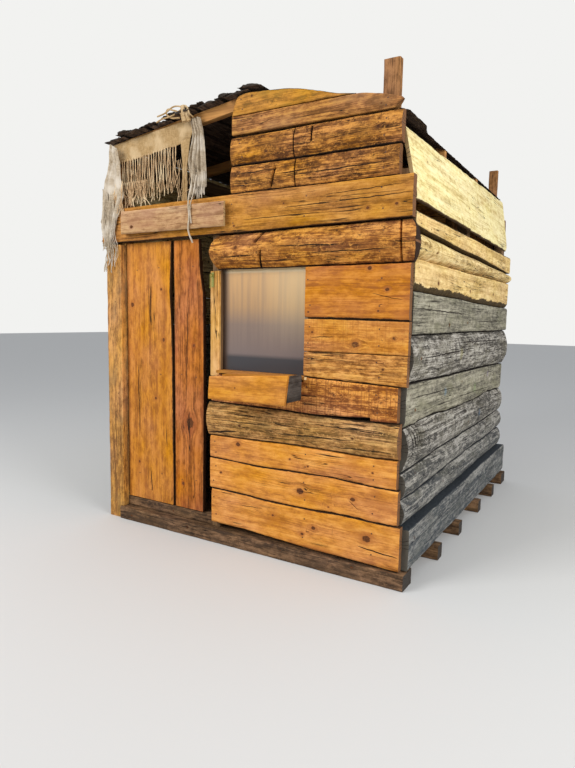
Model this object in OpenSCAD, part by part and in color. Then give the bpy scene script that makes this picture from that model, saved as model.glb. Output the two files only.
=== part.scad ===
// Market hut: a small timber hut clad with waney boards and log slabs under a low roof of bark slabs.
// Origin on the ground in the middle of the floor. X runs along the front from the door side to the
// window side, Y from the front wall to the back wall, Z up. All sizes are in millimetres.

/* [Footprint] */
// Width over the side walls
hut_w = 2390; // [2100:10:2800]
// Depth over the front and back boards
hut_d = 2800; // [2300:10:3400]
// Height of the sill beams and joists that lie on the ground
sill_h = 95; // [70:1:98]
// Depth of a sill beam, front to back
sill_w = 150; // [120:1:200]
// Thickness of the floor boards
floor_t = 26; // [18:1:40]

/* [Frame] */
// Side of the square posts and studs
post_s = 95; // [70:1:110]
// Thickness of the nailing studs between the right posts and the right wall
stud_t = 70; // [45:1:90]
// Room for the right wall's slabs outside its studs
right_wall_t = 85; // [70:1:110]
// Thickness of the left wall's boards
left_wall_t = 52; // [35:1:60]
// Thickness of the front and back boards
board_t = 50; // [35:1:60]
// Height of the tall posts at the right corners
tall_post_z = 2965; // [2800:5:3100]

/* [Roof] */
// Ridge line, across from the middle of the hut
ridge_x = 100; // [0:10:200]
// Top of the rafters at the ridge
ridge_z = 2945; // [2900:5:2960]
// Pitch of the slope over the door, in degrees
left_pitch = 7.2; // [6:0.1:9]
// Pitch of the slope over the window, in degrees
right_pitch = 15; // [14:0.5:16]
// Depth of a rafter
rafter_h = 70; // [50:1:90]
// Thickness of a rafter
rafter_t = 45; // [35:1:60]
// Width of a lower roof slab
under_slab_w = 190; // [150:5:210]
// Width of an upper roof slab
over_slab_w = 150; // [110:5:180]
// How far the roof slabs reach past the front and back boards
roof_lip = 30; // [10:5:80]

/* [Door] */
// Height of the door planks
door_h = 1904; // [1700:1:1930]
// Thickness of the door planks
door_t = 30; // [20:1:40]
// Clearance under the door
door_gap = 6; // [5:1:12]
// Bore of the eyes that hang on the pintles
eye_r = 6; // [5:0.1:8]
// Radius of the pintle pins
pin_r = 5.5; // [4.5:0.1:7.5]

/* [Window] */
// Left edge of the window opening
win_x = -161; // [-200:1:-120]
// Width of the window opening
win_w = 666; // [560:1:720]
// Top of the counter board at the foot of the window
win_z = 1198; // [1100:1:1240]
// Thickness of the translucent window sheet
sheet_t = 8; // [4:1:16]
// How far the counter reaches out of the wall
counter_out = 220; // [120:5:300]

/* [Lintel] */
// Underside of the long lintel plank
lintel_z = 2089; // [2080:1:2100]
// Height of the long lintel plank
lintel_h = 230; // [200:1:240]

/* [Hidden] */

fit = 0.3;
joint_gap = 4;
shut = 1;
front_y = -hut_d / 2 + board_t;
back_y = hut_d / 2 - board_t;
left_x = -hut_w / 2 + left_wall_t;
right_x = hut_w / 2 - right_wall_t;
left_post_x = left_x;
// The wide top plank of the right wall leans in from the studs to the rafter ends
lean = 12.5;
lean_foot_z = 2192;
lean_foot_x = right_x + 65;
lean_t = 24;
lean_front_h = 424;
lean_back_h = 500;
function lean_inner_x(z) = lean_foot_x - lean_t / cos(lean) - (z - lean_foot_z) * tan(lean);
right_post_x = min(right_x - stud_t, lean_inner_x(lean_foot_z + lean_front_h) - fit) - post_s;
tall_post_d = 45;
door_x = left_post_x + post_s;
stud_w = 66;
stud_x = win_x - stud_w;
board_x = win_x - 40;
win_end = win_x + win_w;
header_z = 2110;
header_h = 95;
floor_z = sill_h + floor_t;
log_color = "peru";
plank_color = "sandybrown";
grey_color = "gray";
bark_color = "saddlebrown";
frame_color = "burlywood";

// Waviness of a waney edge: a sum of three slow waves, between about -1 and 1
function waney(x, seed) =
    (sin(x * 0.19 + seed * 97) + 0.6 * sin(x * 0.43 + seed * 61) + 0.3 * sin(x * 0.97 + seed * 29)) / 1.9;

// A joint between two rows of boards: [height at the middle, rise over a metre, waviness, seed]
function joint_z(joint, x) = joint[0] + joint[1] * x / 1000 + joint[2] * waney(x, joint[3]);

// Height of the rafters' top line at a place across the hut
function roof_z(x) = x < ridge_x ? ridge_z - tan(left_pitch) * (ridge_x - x)
                                 : ridge_z - tan(right_pitch) * (x - ridge_x);
function rafter_drop(x) = rafter_h / cos(x < ridge_x ? left_pitch : right_pitch);
function rafter_under(x) = roof_z(x) - rafter_drop(x);

// Radius of the log that gives a bulge over a chord
function slab_r(chord, bulge) = (chord * chord / 4 + bulge * bulge) / (2 * bulge);

// Walls are drawn in a local frame: X along the wall, the nailing face at Y = 0, outside towards -Y
module on_front() { translate([0, front_y, 0]) children(); }
module on_back() { translate([0, back_y, 0]) rotate([0, 0, 180]) children(); }
module on_right() { translate([right_x, 0, 0]) rotate([0, 0, 90]) children(); }
module on_left() { translate([left_x, 0, 0]) rotate([0, 0, -90]) children(); }

// Stands a flat outline up against the nailing face
module upright(t) { rotate([90, 0, 0]) linear_extrude(height = t) children(); }

// The outline of one row between two joints
module row_outline(x0, x1, low, high, gap = joint_gap) {
    steps = ceil((x1 - x0) / 150);
    dx = (x1 - x0) / steps;
    bottom = [for (i = [0:steps]) [x0 + i * dx, joint_z(low, x0 + i * dx) + gap / 2]];
    top = [for (i = [steps:-1:0]) [x0 + i * dx, joint_z(high, x0 + i * dx) - gap / 2]];
    polygon(concat(bottom, top));
}

// A sawn board with waney edges
module board_row(x0, x1, low, high, t, gap = joint_gap) {
    upright(t) row_outline(x0, x1, low, high, gap);
}

// A slab cut from the outside of a log: flat behind, round in front
module slab_row(x0, x1, low, high, t, bulge, gap = joint_gap) {
    mid = (joint_z(low, (x0 + x1) / 2) + joint_z(high, (x0 + x1) / 2)) / 2;
    r = slab_r(high[0] - low[0] + high[2] + low[2], bulge);
    intersection() {
        upright(t + bulge) row_outline(x0, x1, low, high, gap);
        translate([x0 - 1, r - t - bulge, mid]) rotate([0, 90, 0]) cylinder(r = r, h = x1 - x0 + 2);
    }
}

// A run of rows. Each row is [start, end, thickness, bulge]; row i lies between joints i and i + 1
module rows(joints, list, first, last, gap = joint_gap) {
    for (i = [first:last]) {
        row = list[i];
        if (row[3] > 0) slab_row(row[0], row[1], joints[i], joints[i + 1], row[2], row[3], gap);
        else board_row(row[0], row[1], joints[i], joints[i + 1], row[2], gap);
    }
}

// A timber from its lowest corner
module timber(pos, size) { translate(pos) cube(size); }

// Base
joist_ys = [-815, -295, 310, 825];

module front_sill_beam() {
    color("dimgray")
        timber([left_post_x + 70, -hut_d / 2 - 15, 0], [hut_w - left_wall_t - 70, sill_w, sill_h]);
}

module floor_joists() {
    color("dimgray") {
        for (y = joist_ys) timber([left_x, y - 45, 0], [hut_w - left_wall_t + 40, 90, sill_h]);
        timber([left_x, -45, 0], [right_x - left_x, 90, sill_h]);
        timber([left_x, hut_d / 2 - sill_w, 0], [hut_w - left_wall_t + 30, sill_w + 15, sill_h]);
    }
}

module floor_boards() {
    inner_w = right_x - left_x - 6;
    count = 11;
    pitch = inner_w / count;
    color("tan") difference() {
        for (i = [0:count - 1])
            timber([left_x + 3 + i * pitch, front_y + post_s + 2, sill_h],
                   [pitch - joint_gap, back_y - front_y - 2 * post_s - 4, floor_t]);
        timber([left_x - 3, -post_s / 2 - 3, sill_h - 1], [post_s + 6, post_s + 6, floor_t + 2]);
        timber([right_post_x - 3, -post_s / 2 - 3, sill_h - 1],
               [post_s + stud_t + 6, post_s + 6, floor_t + 2]);
    }
}

door_z = sill_h + 70 + door_gap;
module door_sill() {
    color("sienna") timber([door_x + 1, front_y, sill_h], [stud_x - door_x - 2, post_s, 70]);
}

// Frame
module post(x, y, top) { timber([x, y, sill_h], [post_s, post_s, top - sill_h]); }
left_plate_z = rafter_under(left_post_x) - post_s;
right_plate_z = rafter_under(right_post_x + post_s) - post_s;
right_plate_x = min(right_post_x, lean_inner_x(right_plate_z + post_s) - fit - post_s);
back_post_y = back_y - post_s;

// The corner post covers the ends of the left wall's boards, and one part of its foot is on the ground
module post_front_left() {
    w = left_wall_t + post_s;
    color(frame_color) {
        timber([-hut_w / 2, -hut_d / 2, sill_h], [w, board_t + post_s, lintel_z - 26 - sill_h]);
        timber([-hut_w / 2, front_y, sill_h], [w, post_s, left_plate_z - sill_h]);
        timber([-hut_w / 2, -hut_d / 2, 0], [left_wall_t + 69, board_t + post_s, sill_h + 1]);
    }
}
module post_front_right() {
    color(frame_color) timber([right_post_x, front_y, sill_h], [post_s, tall_post_d, tall_post_z - sill_h]);
}
module rear_posts() {
    color(frame_color) {
        post(left_post_x, back_post_y, left_plate_z);
        post(ridge_x - post_s / 2, back_post_y, ridge_beam_z);
        timber([right_post_x, back_y - tall_post_d, sill_h],
               [post_s - 19, tall_post_d, tall_post_z - 12 - sill_h]);
        post(left_post_x, -post_s / 2, left_plate_z);
        post(right_post_x, -post_s / 2, right_plate_z);
    }
}
module side_studs() {
    color(frame_color) for (y = [front_y, -post_s / 2, back_post_y])
        timber([right_x - stud_t, y, sill_h], [stud_t, post_s, side_stud_top - sill_h]);
}
module front_studs() {
    color(frame_color) for (x = [stud_x, win_end])
        timber([x, front_y, sill_h], [stud_w, post_s, header_z - sill_h]);
}
module front_header() {
    color(frame_color) timber([door_x, front_y, header_z], [right_post_x - door_x, post_s, header_h]);
}
gable_stud_x = -40;
module gable_studs() {
    foot = header_z + header_h;
    color(frame_color) {
        timber([gable_stud_x, front_y, foot], [post_s, post_s, rafter_under(gable_stud_x) - foot]);
        timber([ridge_x - post_s / 2 + 10, front_y, foot], [post_s, post_s, ridge_beam_z - fit - foot]);
    }
}
module wall_plates() {
    color(frame_color) {
        timber([left_post_x, front_y, left_plate_z], [post_s, back_y - front_y, post_s]);
        timber([right_plate_x, front_y + tall_post_d, right_plate_z],
               [post_s, back_y - front_y - 2 * tall_post_d, post_s]);
    }
}
ridge_beam_z = rafter_under(ridge_x + post_s / 2) - 100;
module ridge_beam() {
    color(frame_color)
        timber([ridge_x - post_s / 2 + 10, front_y, ridge_beam_z], [post_s - 10, back_y - front_y, 100]);
}

// One rafter between two places across the hut, standing at depth y
module rafter(x0, x1, y) {
    translate([0, y + rafter_t, 0]) rotate([90, 0, 0]) linear_extrude(height = rafter_t)
        polygon([[x0, roof_z(x0)], [x0, rafter_under(x0)], [x1, rafter_under(x1)], [x1, roof_z(x1)]]);
}
module rafters() {
    color(frame_color) {
        for (y = [front_y, -450 - rafter_t / 2, 450 - rafter_t / 2, back_y - rafter_t])
            rafter(left_x, ridge_x - 1, y);
        for (y = [-450 - rafter_t / 2, 450 - rafter_t / 2]) rafter(ridge_x + 1, rafter_tail_x, y);
        for (y = [front_y, back_y - rafter_t]) rafter(ridge_x + 1, right_post_x - 2, y);
    }
}

// Front wall: joints between the rows, from the bottom up
front_joints = [[sill_h + 37, -24 * 2390 / hut_w, 8, 1], [376, -8, 10, 2], [596, -16, 12, 3], [750, 4, 7, 4],
                [978, -10, 8, 5]];
board_end = hut_w / 2 - 26;
front_rows = [[board_x, board_end - 10, board_t - 5, 0], [board_x - 12, board_end - 29, board_t - 4, 0],
              [board_x - 14, board_end - 42, board_t - 6, 0], [board_x - 25, board_end - 36, 40, 38]];
module front_lower_boards() { color(plank_color) on_front() rows(front_joints, front_rows, 0, 2); }
module front_bark_slab() { color(bark_color) on_front() rows(front_joints, front_rows, 3, 3); }

module front_waist_board() {
    color(log_color) difference() {
        on_front() board_row(board_x - 2, board_end - 51, front_joints[4], side_joints[0], board_t);
        timber([stud_x - 20, -hut_d / 2 - 1, win_z - 46], [batten_x1 - stud_x + 22, board_t + 2, 90]);
        timber([batten_x1, -hut_d / 2 - 1, win_z - 33], [win_end + 2 - batten_x1, board_t + 2, 90]);
    }
}
side_joints = [[win_z + 14, -34, 0, 1], [1352, 0, 2, 7], [1555, -5, 4, 8], [1858, 6, 3, 9],
               [lintel_z, 12, 3, 10]];
module window_side_boards() {
    color(plank_color) on_front()
        rows(side_joints, [[win_end, board_end - 6, 46, 0], [win_end, board_end - 4, 44, 0],
                           [win_end, board_end - 7, 45, 0]], 0, 2);
}
// The log slab over the window has both ends rounded off with an axe
module front_log_slab() {
    x0 = win_x - 34;
    x1 = hut_w / 2 + 4;
    mid = (side_joints[3][0] + side_joints[4][0]) / 2;
    color(log_color) on_front() intersection() {
        slab_row(x0, x1, side_joints[3], side_joints[4], 38, 60);
        upright(120) union() {
            translate([x0 + 300, mid]) circle(r = 300);
            translate([x0 + 100, mid - 150]) square([x1 - x0 - 190, 300]);
            translate([x1 - 210, mid]) circle(r = 210);
        }
    }
}
module lintel_plank() {
    x0 = -hut_w / 2 - 30;
    color(plank_color) on_front() board_row(x0, hut_w / 2 - 34, side_joints[4], gable_joints[0], board_t + 5);
}
// Boards over the window, up to the gable's slanted top
gable_joints = [[lintel_z + lintel_h + 9, 6, 3, 12], [2502, 0, 2, 13], [2680, 0, 3, 14]];
gable_x = -51;
gable_end = 1075;
module gable_boards() {
    top_board = 2802;
    color(log_color) on_front() {
        slab_row(gable_x, gable_end, gable_joints[0], gable_joints[1], 40, 18);
        slab_row(gable_x, gable_end + 10, gable_joints[1], gable_joints[2], 40, 22);
        upright(board_t - 5)
            polygon([[gable_x + 4, 2690], [gable_end - 6, 2686], [gable_end, 2738],
                     [gable_end - 100, 2770], [835, top_board - 4], [gable_x + 4, top_board]]);
        upright(board_t)
            polygon([[gable_x + 4, top_board + 4], [800, top_board + 1], [675, 2824], [555, 2862],
                     [415, 2898], [275, 2916], [75, 2934], [-45, 2918]]);
    }
}

// Window, counter and sign
batten_x0 = win_x - 75;
batten_x1 = win_x;
batten_top = joint_z(side_joints[3], batten_x0) - 5;
module window_batten() {
    color("wheat")
        timber([batten_x0, front_y - 22, win_z - 44], [batten_x1 - batten_x0, 22, batten_top + 44 - win_z]);
}
module window_sheet() {
    color("lightgray", 0.5)
        timber([win_x + fit, front_y + 25, win_z + fit],
               [win_w - 2 * fit, sheet_t, side_joints[3][0] + 20 - win_z]);
}
counter_t = 18;
counter_x0 = -57;
counter_x1 = win_end;
counter_y = -hut_d / 2 - counter_out;
counter_back = counter_y + 20 + fit;
module counter_board() {
    wall = -hut_d / 2 - 2;
    color("peru") {
        translate([0, 0, win_z - counter_t]) linear_extrude(height = counter_t)
            polygon([[counter_x0 + 100, counter_back], [counter_x1 - 5, counter_back],
                     [counter_x1 - 5, wall - 30], [counter_x1 + 29, wall - 30],
                     [counter_x1 + 29, wall], [win_end - 2, wall],
                     [win_end - 2, front_y + 40], [batten_x1 + 2, front_y + 40], [batten_x1 + 2, wall],
                     [counter_x0 + 100, wall]]);
        translate([0, counter_y + 20, win_z]) rotate([90, 0, 0]) linear_extrude(height = 20)
            polygon([[counter_x0, -162], [counter_x1 + 3, -158], [counter_x1 + 25, 24],
                     [counter_x0 + 12, -18]]);
    }
}
module counter_box() {
    back = -hut_d / 2 - fit;
    color("slategray") {
        timber([counter_x0 + 14, counter_back, win_z - 143], [18, back - counter_back, 122]);
        timber([counter_x1 - 5 + fit, counter_back, win_z - 143], [18, back - 32 - counter_back, 157]);
    }
}
module sign_board() {
    face = -hut_d / 2 - 5;
    color("navajowhite") {
        timber([-989, face - 42, 2128], [918, 20, 158]);
        for (x = [-900, -220]) timber([x, face - 22, 2150], [40, 22, 110]);
    }
}
module hanging_cloth() {
    x0 = -hut_w / 2 + 75;
    x1 = -260;
    low = lintel_z + lintel_h + 14;
    color("linen") translate([0, front_y - fit, 0]) upright(12)
        polygon([[x0, low], [x1, low], [x1, roof_z(x1) - 6], [x0, roof_z(x0) - 6]]);
}

// Door, hung on the left post and opening inwards
door_y = front_y + 5;
ledge_y = door_y + door_t;
ledge_t = 25;
band_y = ledge_y + ledge_t;
eye_out = 11;
hinge_x = door_x + 18;
hinge_y = band_y + eye_out;
ledge_zs = [330, 1090, 1840];
ledge_end = -363;
band_zs = [ledge_zs[0] + 47, ledge_zs[2] + 47];
module door_wide_plank() {
    x0 = door_x + 6;
    color(plank_color) translate([0, ledge_y, 0]) upright(door_t)
        polygon([[x0, door_z], [-591, door_z], [-599, 1295], [-619, 1703], [-605, door_z + door_h],
                 [x0, door_z + door_h]]);
}
module door_narrow_plank() {
    color(log_color) translate([0, ledge_y, 0]) upright(door_t)
        polygon([[-574, door_z], [-316, door_z], [-310, 1000], [-316, 1700], [-347, 1870],
                 [-355, door_z + door_h], [-584, door_z + door_h], [-578, 1700], [-578, 1500]]);
}
module door_ledges() {
    color(frame_color) for (z = ledge_zs)
        timber([door_x + 45, ledge_y, z], [ledge_end - door_x - 45, ledge_t, 95]);
}
module door_bands() {
    color("dimgray") for (z = band_zs) difference() {
        union() {
            timber([hinge_x, band_y, z - 20], [390, 4, 40]);
            translate([hinge_x, hinge_y, z - 20]) cylinder(r = eye_out, h = 40);
        }
        translate([hinge_x, hinge_y, z - 21]) cylinder(r = eye_r, h = 42);
    }
}
module door_pintles() {
    color("dimgray") for (z = band_zs) {
        timber([door_x, hinge_y - 17, z - 70], [4, 40, 50]);
        timber([door_x + 3, hinge_y - 12, z - 36], [25, 24, 15.5]);
        translate([hinge_x, hinge_y, z - 25]) cylinder(r = pin_r, h = 45);
    }
}
// A hook that hangs in the ring of a strap on the window batten
module door_hook() {
    x = batten_x0 + 24;
    y = front_y - 26;
    z = batten_top - 30;
    color("olivedrab") {
        timber([x - 10, y, z - 76], [20, 4, 96]);
        translate([x, y - 14.25, z]) rotate([0, 90, 0]) rotate_extrude() translate([10.5, 0]) circle(r = 3);
        translate([x, y + 1, z]) rotate([90, 0, 0]) cylinder(r = 2.1, h = 7);
        translate([x, y - 24.75, z - 80]) cylinder(r = 2.1, h = 80);
        translate([x, y - 24.75, z - 80]) sphere(r = 5);
    }
}

// Right wall: joints between the rows, from the bottom up, along the depth of the hut
right_joints = [[98.5, 0, 1, 21], [352, 4, 5, 22], [520, 10, 8, 23], [688, 10, 7, 24], [928, -6, 16, 25],
                [1176, -10, 4, 26], [1471, 2, 3, 27], [1697, -14, 4, 28], [1899, 7, 4, 29],
                [2037, -22, 6, 30], [2153, 0, 4, 31]];
wall_start = front_y + 3;
wall_end = hut_d / 2 - 4;
right_rows = [[wall_start, wall_end + 46, 91, 0], [wall_start, wall_end, 34, 25],
              [wall_start, wall_end - 10, 34, 27], [wall_start, wall_end - 20, 30, 30],
              [wall_start, wall_end - 55, 42, 0], [wall_start, wall_end, 42, 36],
              [wall_start, wall_end - 40, 62, 0], [wall_start, wall_end - 60, 62, 0],
              [wall_start, wall_end - 25, 44, 40], [wall_start, wall_end, 58, 0]];
module right_lower_slabs() { color(grey_color) on_right() rows(right_joints, right_rows, 0, 3); }
module right_middle_boards() { color(grey_color) on_right() rows(right_joints, right_rows, 4, 6); }
module right_upper_boards() { color("wheat") on_right() rows(right_joints, right_rows, 7, 9); }
side_stud_top = lean_foot_z + (lean_foot_x - lean_t / cos(lean) - right_x) / tan(lean) - 1;
rafter_tail_x = lean_inner_x(lean_foot_z + lean_back_h * cos(lean) - lean_t * sin(lean)) - fit;
module right_top_plank() {
    rise = (lean_back_h - lean_front_h) / (wall_end - wall_start) * 1000;
    low = [6, -8, 3, 32];
    high = [(lean_back_h + lean_front_h) / 2 - 2, rise, 3, 33];
    color("wheat") translate([lean_foot_x, 0, lean_foot_z]) rotate([0, -lean, 0])
        translate([-lean_t, 0, 0]) rotate([0, 0, 90]) upright(lean_t) intersection() {
            row_outline(wall_start, wall_end, low, high);
            polygon([[wall_start, -60], [wall_end - 228, -60], [wall_end, lean_back_h],
                     [wall_end, lean_back_h + 60], [wall_start, lean_back_h + 60]]);
        }
}

// Left and back walls repeat the same build
left_joints = [[32, 0, 2, 41], [286, 5, 8, 42], [512, 0, 8, 43], [748, -6, 8, 44], [986, 4, 7, 45],
               [1226, 0, 8, 46], [1484, -4, 7, 47], [1716, 0, 8, 48], [1948, 3, 7, 49], [2170, 0, 6, 50],
               [2380, 0, 6, 51], [2580, 0, 5, 52], [roof_z(-hut_w / 2) - 3, 0, 1, 53]];
left_end = -(front_y + post_s + 3);
left_rows = [for (i = [0:11])
    i % 3 == 1 ? [-wall_end, left_end, 30, 20] : [-wall_end, left_end, 44 + i % 2 * 4, 0]];
module left_lower_boards() { color(grey_color) on_left() rows(left_joints, left_rows, 0, 5, shut); }
module left_upper_boards() { color("wheat") on_left() rows(left_joints, left_rows, 6, 11, shut); }

back_joints = [[112, 0, 4, 61], [372, 6, 8, 62], [604, -5, 8, 63], [842, 0, 8, 64], [1078, 5, 7, 65],
               [1320, 0, 8, 66], [1560, -4, 7, 67], [1800, 3, 8, 68], [2040, 0, 7, 69], [2280, 0, 6, 70],
               [2500, 0, 1, 71]];
back_x0 = 3 - right_x;
back_x1 = -left_x - 3;
back_rows = [for (i = [0:9])
    i % 3 == 0 ? [back_x0, back_x1, 30, 20] : [back_x0, back_x1, 42 + i % 2 * 4, 0]];
module back_lower_boards() { color(grey_color) on_back() rows(back_joints, back_rows, 0, 5, shut); }
module back_upper_boards() {
    top_x0 = -min(right_post_x + post_s, rafter_tail_x);
    top_x1 = -left_x;
    color(plank_color) on_back() {
        rows(back_joints, back_rows, 6, 9, shut);
        upright(board_t - 6)
            polygon([[top_x0, 2502], [top_x1, 2502], [top_x1, roof_z(-top_x1) - 4], [-ridge_x, ridge_z - 4],
                     [top_x0, roof_z(-top_x0) - 4]]);
    }
}

// Roof: slabs of bark side up, laid along the ridge in two layers
edge_t = 6;
bulge_t = 14;
slab_y0 = -hut_d / 2 - roof_lip;
slab_y1 = hut_d / 2 + roof_lip;
module bark_slab(x, z, w, y0, y1, bulge = bulge_t) {
    r = slab_r(w, bulge);
    translate([x, y1, z]) rotate([90, 0, 0]) linear_extrude(height = y1 - y0) intersection() {
        translate([0, edge_t + bulge - r]) circle(r = r, $fn = 240);
        translate([-w / 2, 0]) square([w, edge_t + bulge]);
    }
}
// The slabs were laid as they came: some reach further out, and some are thicker
function reach(i) = 20 * sin(i * 137 + 40);
function over_bulge(i) = bulge_t + 6 * sin(i * 211 + 70);
module on_left_slope() { translate([ridge_x, 0, ridge_z]) rotate([0, -left_pitch, 0]) children(); }
module on_right_slope() { translate([ridge_x, 0, ridge_z]) rotate([0, right_pitch, 0]) children(); }
module tall_post_notches() {
    for (y = [front_y, back_y - tall_post_d])
        timber([right_post_x - 3, y - 3, 2500], [post_s + 6, tall_post_d + 6, 500]);
}
left_gap = 25;
right_gap = 20;
left_slabs = floor((ridge_x + hut_w / 2 + 20) / cos(left_pitch) / (under_slab_w + left_gap));
right_slabs = floor((right_x + 25 - ridge_x) / cos(right_pitch) / (under_slab_w + right_gap) + 0.5);
ridge_gap = 12;
right_y0 = front_y + 3;
function place(i, gap) = under_slab_w / 2 + ridge_gap + i * (under_slab_w + gap);
// Height of the top of a lower slab at a distance from its own middle
function slab_top(s) = fit + edge_t + bulge_t * (1 - pow(s / (under_slab_w / 2), 2));
function over_z(gap) = slab_top((under_slab_w + gap - over_slab_w) / 2) + fit;
// The slab at the right eave is cut narrower behind its front end, and ends over the back wall
eave_edge = place(right_slabs - 1, right_gap) + under_slab_w / 2;
module eave_cut() {
    on_right_slope() translate([0, 0, -1]) linear_extrude(height = edge_t + bulge_t + 4)
        polygon([[eave_edge - 58, slab_y1 - 36], [eave_edge - 58, -870 * hut_d / 2800],
                 [eave_edge + 6, -1080 * hut_d / 2800], [eave_edge + 6, slab_y1 + 60],
                 [eave_edge - under_slab_w - 6, slab_y1 + 60], [eave_edge - under_slab_w - 6, slab_y1 - 36]]);
}
module roof_under_slabs() {
    color(bark_color) {
        on_left_slope() for (i = [0:left_slabs - 1])
            bark_slab(-place(i, left_gap), fit, under_slab_w, slab_y0 + reach(i), slab_y1 + reach(i + 5));
        difference() {
            on_right_slope() for (i = [0:right_slabs - 1])
                bark_slab(place(i, right_gap), fit, under_slab_w, right_y0, slab_y1 + reach(i + 8));
            tall_post_notches();
            eave_cut();
        }
    }
}
module roof_over_slabs() {
    color(bark_color) {
        on_left_slope() for (i = [0:left_slabs - 2])
            bark_slab(-place(i + 0.5, left_gap), over_z(left_gap), over_slab_w, slab_y0 + reach(i + 3),
                      slab_y1 + reach(i + 1), over_bulge(i));
        difference() {
            on_right_slope() for (i = [0:right_slabs - 2])
                bark_slab(place(i + 0.5, right_gap), over_z(right_gap), over_slab_w, right_y0,
                          slab_y1 + reach(i + 2), over_bulge(i + 4));
            tall_post_notches();
        }
    }
}
// The cap slab tips a little to the right and rests on the first slab of each slope
cap_tilt = 4.2;
cap_w = under_slab_w - 5;
function cap_rise(s, pitch, tilt) = slab_top(place(0, 0) - s) - s * (tan(pitch) + tan(tilt));
cap_z = ridge_z + 0.15 + max([for (s = [ridge_gap:4:cap_w / 2])
    max(cap_rise(s, left_pitch, cap_tilt), cap_rise(s, right_pitch, -cap_tilt))]);
module ridge_cap_slab() {
    color(bark_color) translate([ridge_x, 0, cap_z]) rotate([0, cap_tilt, 0])
        bark_slab(0, 0, cap_w, slab_y0, slab_y1, 22);
}

front_sill_beam();
floor_joists();
floor_boards();
door_sill();
post_front_left();
post_front_right();
rear_posts();
side_studs();
front_studs();
front_header();
gable_studs();
wall_plates();
ridge_beam();
rafters();
front_lower_boards();
front_bark_slab();
front_waist_board();
window_side_boards();
front_log_slab();
lintel_plank();
gable_boards();
window_batten();
window_sheet();
counter_board();
counter_box();
door_wide_plank();
door_narrow_plank();
door_ledges();
door_bands();
door_pintles();
door_hook();
right_lower_slabs();
right_middle_boards();
right_upper_boards();
right_top_plank();
left_lower_boards();
left_upper_boards();
back_lower_boards();
back_upper_boards();
roof_under_slabs();
roof_over_slabs();
ridge_cap_slab();
sign_board();
hanging_cloth();
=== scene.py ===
# %% [markdown]
# A small market hut nailed together from saw-mill offcuts: waney boards, log slabs with their round
# side out, and a low roof of bark slabs. This lesson dresses a fixed model of the hut. Each wall row
# of the model gives the outline of one board, and the script grows a finer board on that outline,
# with worn edges, bark, saw cuts and splits.

# %% The fixed model of the hut
import math

import bmesh
import bpy
import numpy as np
from mathutils import Matrix, Vector


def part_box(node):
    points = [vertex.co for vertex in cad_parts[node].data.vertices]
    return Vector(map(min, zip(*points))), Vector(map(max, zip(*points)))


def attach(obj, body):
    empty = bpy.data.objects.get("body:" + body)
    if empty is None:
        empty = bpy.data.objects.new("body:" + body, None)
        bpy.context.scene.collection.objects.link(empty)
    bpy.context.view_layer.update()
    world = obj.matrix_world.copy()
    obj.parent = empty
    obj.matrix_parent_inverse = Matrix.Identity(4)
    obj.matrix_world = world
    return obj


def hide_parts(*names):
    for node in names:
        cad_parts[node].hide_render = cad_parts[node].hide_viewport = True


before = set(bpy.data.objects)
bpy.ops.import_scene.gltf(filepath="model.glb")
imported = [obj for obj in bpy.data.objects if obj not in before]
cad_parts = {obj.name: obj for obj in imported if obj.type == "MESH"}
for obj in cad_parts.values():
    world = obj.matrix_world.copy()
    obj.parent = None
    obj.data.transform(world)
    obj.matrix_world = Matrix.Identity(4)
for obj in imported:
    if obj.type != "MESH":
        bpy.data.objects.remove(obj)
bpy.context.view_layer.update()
scene = bpy.context.scene
print("nodes in the model:", len(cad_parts))

# %% [markdown]
# The camera stands where the photographer stood: at eye height, in front of the hut's right corner,
# looking a little down. The three turns are the ones that bring the hut's own straight edges onto
# those of the photograph.

# %% The camera
EYE = Vector((2.233, -4.479, 1.55))
LOOK_DOWN = math.radians(6.46)
TURN_LEFT = math.radians(30.79)
LEAN = math.radians(1.01)
FOCAL_PX = 580.0
LONG_SIDE_PX = 768.0
SENSOR_MM = 36.0


def camera_turn():
    """Return the camera's rotation from its three angles."""
    ahead = Vector((-math.sin(TURN_LEFT) * math.cos(LOOK_DOWN),
                    math.cos(TURN_LEFT) * math.cos(LOOK_DOWN),
                    -math.sin(LOOK_DOWN)))
    right = Vector((math.cos(TURN_LEFT), math.sin(TURN_LEFT), 0.0))
    up = right.cross(ahead)
    leaned_right = math.cos(LEAN) * right + math.sin(LEAN) * up
    leaned_up = -math.sin(LEAN) * right + math.cos(LEAN) * up
    return Matrix((leaned_right, leaned_up, -ahead)).transposed()


lens = bpy.data.cameras.new("camera")
lens.sensor_width = SENSOR_MM
lens.lens = SENSOR_MM * FOCAL_PX / LONG_SIDE_PX
camera = bpy.data.objects.new("camera", lens)
camera.matrix_world = Matrix.Translation(EYE) @ camera_turn().to_4x4()
scene.collection.objects.link(camera)
scene.camera = camera

# %% [markdown]
# Two small helpers carry the whole lesson's materials: one turns a written colour into the linear
# numbers that the renderer needs, and one adds a node with its settings and links.

# %% Colours and nodes
def linear(code, alpha=1.0):
    """Turn an sRGB hex colour into linear numbers."""
    channels = [int(code[i:i + 2], 16) / 255 for i in (1, 3, 5)]
    bent = [c / 12.92 if c <= 0.04045 else ((c + 0.055) / 1.055) ** 2.4 for c in channels]
    return (*bent, alpha)


def add(tree, kind, settings=None, inputs=None, out=0):
    """Add a node, set it, link or fill its inputs, and return one of its outputs."""
    node = tree.nodes.new(kind)
    for key, value in (settings or {}).items():
        setattr(node, key, value)
    for key, value in (inputs or {}).items():
        if isinstance(value, bpy.types.NodeSocket):
            tree.links.new(value, node.inputs[key])
        else:
            node.inputs[key].default_value = value
    return node if out is None else node.outputs[out]


def new_material(name):
    """Make an empty node material."""
    material = bpy.data.materials.new(name)
    material.use_nodes = True
    material.node_tree.nodes.clear()
    return material, material.node_tree


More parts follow.
